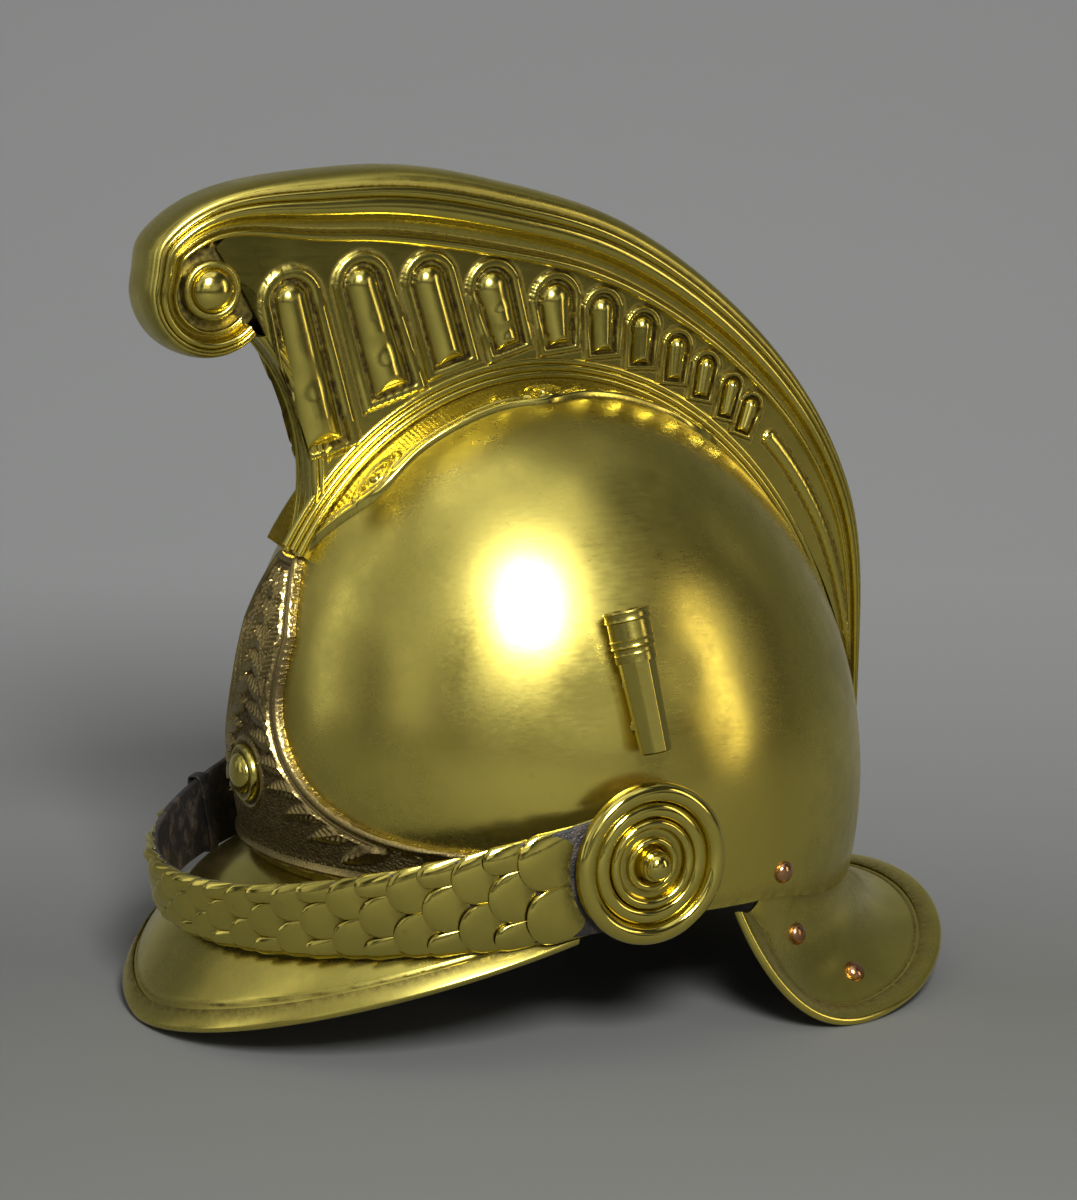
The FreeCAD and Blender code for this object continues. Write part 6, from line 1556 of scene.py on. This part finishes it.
class HelmetLook(bpy.types.PropertyGroup):
    """Colours of the helmet's materials."""

    brass_clean: bpy.props.FloatVectorProperty(
        name="Clean brass", description="Colour of polished brass",
        subtype="COLOR", size=4, min=0, max=1, default=(0.72, 0.60, 0.125, 1))
    brass_tarnish: bpy.props.FloatVectorProperty(
        name="Tarnished brass", description="Brass with an old brown film",
        subtype="COLOR", size=4, min=0, max=1, default=(0.42, 0.36, 0.085, 1))
    plate_brass: bpy.props.FloatVectorProperty(
        name="Plate brass", description="The front plate's browner brass",
        subtype="COLOR", size=4, min=0, max=1, default=(0.50, 0.385, 0.13, 1))
    plate_tarnish: bpy.props.FloatVectorProperty(
        name="Plate tarnish", description="The front plate's brown film",
        subtype="COLOR", size=4, min=0, max=1, default=(0.22, 0.165, 0.07, 1))
    # Dark colour of old polish and dirt, also used as painted shade in recesses and under parts.
    dirt_and_shade: bpy.props.FloatVectorProperty(
        name="Dirt and shade", description="Old polish and dirt in the recesses",
        subtype="COLOR", size=4, min=0, max=1, default=(0.055, 0.038, 0.018, 1))
    copper: bpy.props.FloatVectorProperty(
        name="Copper", description="Colour of the rivets' heads",
        subtype="COLOR", size=4, min=0, max=1, default=(0.60, 0.32, 0.15, 1))
    copper_tarnish: bpy.props.FloatVectorProperty(
        name="Copper tarnish", description="The rivets' brown film",
        subtype="COLOR", size=4, min=0, max=1, default=(0.32, 0.17, 0.08, 1))
    iron: bpy.props.FloatVectorProperty(
        name="Iron", description="Colour of the nuts inside",
        subtype="COLOR", size=4, min=0, max=1, default=(0.34, 0.33, 0.32, 1))
    rust: bpy.props.FloatVectorProperty(
        name="Rust", description="Colour of old iron",
        subtype="COLOR", size=4, min=0, max=1, default=(0.20, 0.12, 0.07, 1))
    strap_leather: bpy.props.FloatVectorProperty(
        name="Strap leather", description="The chinstrap's leather",
        subtype="COLOR", size=4, min=0, max=1, default=(0.018, 0.016, 0.015, 1))
    strap_worn: bpy.props.FloatVectorProperty(
        name="Worn strap", description="The chinstrap's rubbed places",
        subtype="COLOR", size=4, min=0, max=1, default=(0.075, 0.055, 0.04, 1))
    lining_leather: bpy.props.FloatVectorProperty(
        name="Lining leather", description="The lining's leather",
        subtype="COLOR", size=4, min=0, max=1, default=(0.11, 0.050, 0.022, 1))
    lining_worn: bpy.props.FloatVectorProperty(
        name="Worn lining", description="The lining's rubbed places",
        subtype="COLOR", size=4, min=0, max=1, default=(0.20, 0.10, 0.045, 1))


class HelmetDetail(bpy.types.PropertyGroup):
    """Sizes of the fine relief."""

    dent_depth: bpy.props.FloatProperty(
        name="Dent depth", description="Depth of the deepest dents in the skull",
        unit="LENGTH", default=0.0005, min=0.0, max=0.001)
    gadroon_height: bpy.props.FloatProperty(
        name="Gadroon frame height", description="How far each arched frame stands out of the web",
        unit="LENGTH", default=0.0010, min=0.0003, max=0.0015)
    rib_height: bpy.props.FloatProperty(
        name="Gadroon rib height", description="How far each rib stands out of the web",
        unit="LENGTH", default=0.0029, min=0.001, max=0.0035)
    comb_pitch: bpy.props.FloatProperty(
        name="Comb pitch", description="Distance between the fine lines on the foot flanges",
        unit="LENGTH", default=0.0014, min=0.001, max=0.004)
    plate_bead: bpy.props.FloatProperty(
        name="Plate bead height", description="Height of the bead along the front plate",
        unit="LENGTH", default=0.0017, min=0.0005, max=0.0018)
    scale_bulge: bpy.props.FloatProperty(
        name="Scale bulge", description="How far each lobe of a chin scale is domed",
        unit="LENGTH", default=0.0012, min=0.0, max=0.0015)


class HelmetStage(bpy.types.PropertyGroup):
    """Camera, lamps and floor."""

    lens: bpy.props.FloatProperty(
        name="Lens", description="Focal length on a sensor 36 mm high", unit="CAMERA",
        default=102.0, min=20.0)
    key_power: bpy.props.FloatProperty(
        name="Key power", description="Power of the main lamp", unit="POWER", default=28.0, min=0.0)
    # Dark end of the sheet's painted light ramp, on the floor.
    floor_shade_color: bpy.props.FloatVectorProperty(
        name="Floor", description="Colour of the floor",
        subtype="COLOR", size=4, min=0, max=1, default=(0.14, 0.143, 0.136, 1))
    # Light end of the sheet's painted light ramp, up the backdrop.
    backdrop_light_color: bpy.props.FloatVectorProperty(
        name="Backdrop", description="Colour of the backdrop behind the floor",
        subtype="COLOR", size=4, min=0, max=1, default=(0.50, 0.51, 0.50, 1))
    world_color: bpy.props.FloatVectorProperty(
        name="Surroundings", description="Colour of the soft light around",
        subtype="COLOR", size=4, min=0, max=1, default=(0.25, 0.25, 0.255, 1))
    room_shift: bpy.props.FloatVectorProperty(
        name="Room shift", description="Moves the soft light and dark areas of the surroundings",
        subtype="TRANSLATION", size=3, default=(0.3, 0.1, 0.4))


class HELMET_OT_finishes(bpy.types.Operator):
    """Make all materials from the chosen colours"""

    bl_idname = "helmet.finishes"
    bl_label = "Make finishes"

    def execute(self, context):
        FINISHES.update(make_finishes(context.scene.helmet_look))
        return {"FINISHED"}


class HELMET_OT_fixings(bpy.types.Operator):
    """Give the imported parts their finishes"""

    bl_idname = "helmet.fixings"
    bl_label = "Finish the packed parts"

    def execute(self, context):
        dress_fixings()
        return {"FINISHED"}


class HELMET_OT_skull(bpy.types.Operator):
    """Make the skull's dome with its dents"""

    bl_idname = "helmet.skull"
    bl_label = "Make skull"

    def execute(self, context):
        skull_piece(context.scene.helmet_detail)
        return {"FINISHED"}


class HELMET_OT_brims(bpy.types.Operator):
    """Make the peak, the nape guard and their bindings"""

    bl_idname = "helmet.brims"
    bl_label = "Make brims"

    def execute(self, context):
        brims()
        return {"FINISHED"}


class HELMET_OT_crest_mouldings(bpy.types.Operator):
    """Make the band and both cornices"""

    bl_idname = "helmet.crest_mouldings"
    bl_label = "Make crest mouldings"

    def execute(self, context):
        crest_mouldings()
        return {"FINISHED"}


class HELMET_OT_scroll(bpy.types.Operator):
    """Make the ball, ring and disc in the scroll"""

    bl_idname = "helmet.scroll"
    bl_label = "Make scroll core"

    def execute(self, context):
        volute_piece()
        return {"FINISHED"}


class HELMET_OT_crest_webs(bpy.types.Operator):
    """Make both webs with their gadroons"""

    bl_idname = "helmet.crest_webs"
    bl_label = "Make crest webs"

    def execute(self, context):
        crest_webs(context.scene.helmet_detail)
        return {"FINISHED"}


class HELMET_OT_foot_mouldings(bpy.types.Operator):
    """Make the beads along the webs"""

    bl_idname = "helmet.foot_mouldings"
    bl_label = "Make foot mouldings"

    def execute(self, context):
        foot_mouldings()
        return {"FINISHED"}


class HELMET_OT_front_strip(bpy.types.Operator):
    """Make the crest's hollow front edge"""

    bl_idname = "helmet.front_strip"
    bl_label = "Make front strip"

    def execute(self, context):
        front_strip()
        return {"FINISHED"}


class HELMET_OT_flanges(bpy.types.Operator):
    """Make the combed flanges and their screws"""

    bl_idname = "helmet.flanges"
    bl_label = "Make foot flanges"

    def execute(self, context):
        crest_flanges(context.scene.helmet_detail)
        return {"FINISHED"}


class HELMET_OT_plate(bpy.types.Operator):
    """Make the embossed plate and its boss"""

    bl_idname = "helmet.plate"
    bl_label = "Make front plate"

    def execute(self, context):
        front_plate_piece(context.scene.helmet_detail)
        plate_boss_piece()
        return {"FINISHED"}


class HELMET_OT_leathers(bpy.types.Operator):
    """Make both halves of the strap"""

    bl_idname = "helmet.leathers"
    bl_label = "Make strap leathers"

    def execute(self, context):
        strap_leathers()
        return {"FINISHED"}


class HELMET_OT_strap_ends(bpy.types.Operator):
    """Make the strap's tongue and its keeper"""

    bl_idname = "helmet.strap_ends"
    bl_label = "Make tongue and keeper"

    def execute(self, context):
        strap_ends()
        return {"FINISHED"}


class HELMET_OT_scales(bpy.types.Operator):
    """Make the overlapping rows of scales"""

    bl_idname = "helmet.scales"
    bl_label = "Make chin scales"

    def execute(self, context):
        chin_scale_rows(context.scene.helmet_detail)
        return {"FINISHED"}


class HELMET_OT_rosettes(bpy.types.Operator):
    """Make the rosettes and their knobs"""

    bl_idname = "helmet.rosettes"
    bl_label = "Make rosettes"

    def execute(self, context):
        rosette_pieces()
        return {"FINISHED"}


class HELMET_OT_socket(bpy.types.Operator):
    """Make the plume's tube and its collar"""

    bl_idname = "helmet.socket"
    bl_label = "Make plume socket"

    def execute(self, context):
        socket_pieces()
        return {"FINISHED"}


class HELMET_OT_rivets(bpy.types.Operator):
    """Make the copper rivets"""

    bl_idname = "helmet.rivets"
    bl_label = "Make rivets"

    def execute(self, context):
        rivet_pieces()
        return {"FINISHED"}


class HELMET_OT_lining(bpy.types.Operator):
    """Make the headband and the tongues"""

    bl_idname = "helmet.lining"
    bl_label = "Make lining"

    def execute(self, context):
        lining_pieces()
        return {"FINISHED"}


class HELMET_OT_stage(bpy.types.Operator):
    """Set the floor, the lamps and the camera"""

    bl_idname = "helmet.stage"
    bl_label = "Set the stage"

    def execute(self, context):
        stage_set(context.scene.helmet_stage)
        return {"FINISHED"}


OPERATORS = (
    HELMET_OT_finishes,
    HELMET_OT_fixings,
    HELMET_OT_skull,
    HELMET_OT_brims,
    HELMET_OT_crest_mouldings,
    HELMET_OT_scroll,
    HELMET_OT_crest_webs,
    HELMET_OT_foot_mouldings,
    HELMET_OT_front_strip,
    HELMET_OT_flanges,
    HELMET_OT_plate,
    HELMET_OT_leathers,
    HELMET_OT_strap_ends,
    HELMET_OT_scales,
    HELMET_OT_rosettes,
    HELMET_OT_socket,
    HELMET_OT_rivets,
    HELMET_OT_lining,
    HELMET_OT_stage,
)


class HELMET_PT_panel(bpy.types.Panel):
    """Lists the settings and the makers"""

    bl_label = "Brass fire helmet"
    bl_idname = "HELMET_PT_panel"
    bl_space_type = "VIEW_3D"
    bl_region_type = "UI"
    bl_category = "Helmet"

    def draw(self, context):
        scene = context.scene
        for group in (scene.helmet_look, scene.helmet_detail, scene.helmet_stage):
            box = self.layout.box()
            for key in group.__annotations__:
                box.prop(group, key)
        for maker in OPERATORS:
            self.layout.operator(maker.bl_idname)


CLASSES = (HelmetLook, HelmetDetail, HelmetStage) + OPERATORS + (HELMET_PT_panel,)


def register():
    """Registers the classes and hangs the settings on the scene."""
    for item in CLASSES:
        bpy.utils.register_class(item)
    bpy.types.Scene.helmet_look = bpy.props.PointerProperty(type=HelmetLook)
    bpy.types.Scene.helmet_detail = bpy.props.PointerProperty(type=HelmetDetail)
    bpy.types.Scene.helmet_stage = bpy.props.PointerProperty(type=HelmetStage)


def unregister():
    """Takes the settings and the classes away again."""
    del bpy.types.Scene.helmet_look
    del bpy.types.Scene.helmet_detail
    del bpy.types.Scene.helmet_stage
    for item in reversed(CLASSES):
        bpy.utils.unregister_class(item)


def main():
    """Makes the finishes, the pieces and the stage."""
    register()
    bpy.ops.helmet.finishes()
    bpy.ops.helmet.fixings()
    bpy.ops.helmet.skull()
    bpy.ops.helmet.brims()
    bpy.ops.helmet.crest_mouldings()
    bpy.ops.helmet.scroll()
    bpy.ops.helmet.crest_webs()
    bpy.ops.helmet.foot_mouldings()
    bpy.ops.helmet.front_strip()
    bpy.ops.helmet.flanges()
    bpy.ops.helmet.plate()
    bpy.ops.helmet.leathers()
    bpy.ops.helmet.strap_ends()
    bpy.ops.helmet.scales()
    bpy.ops.helmet.rosettes()
    bpy.ops.helmet.socket()
    bpy.ops.helmet.rivets()
    bpy.ops.helmet.lining()
    bpy.ops.helmet.stage()


if __name__ == "__main__":
    main()
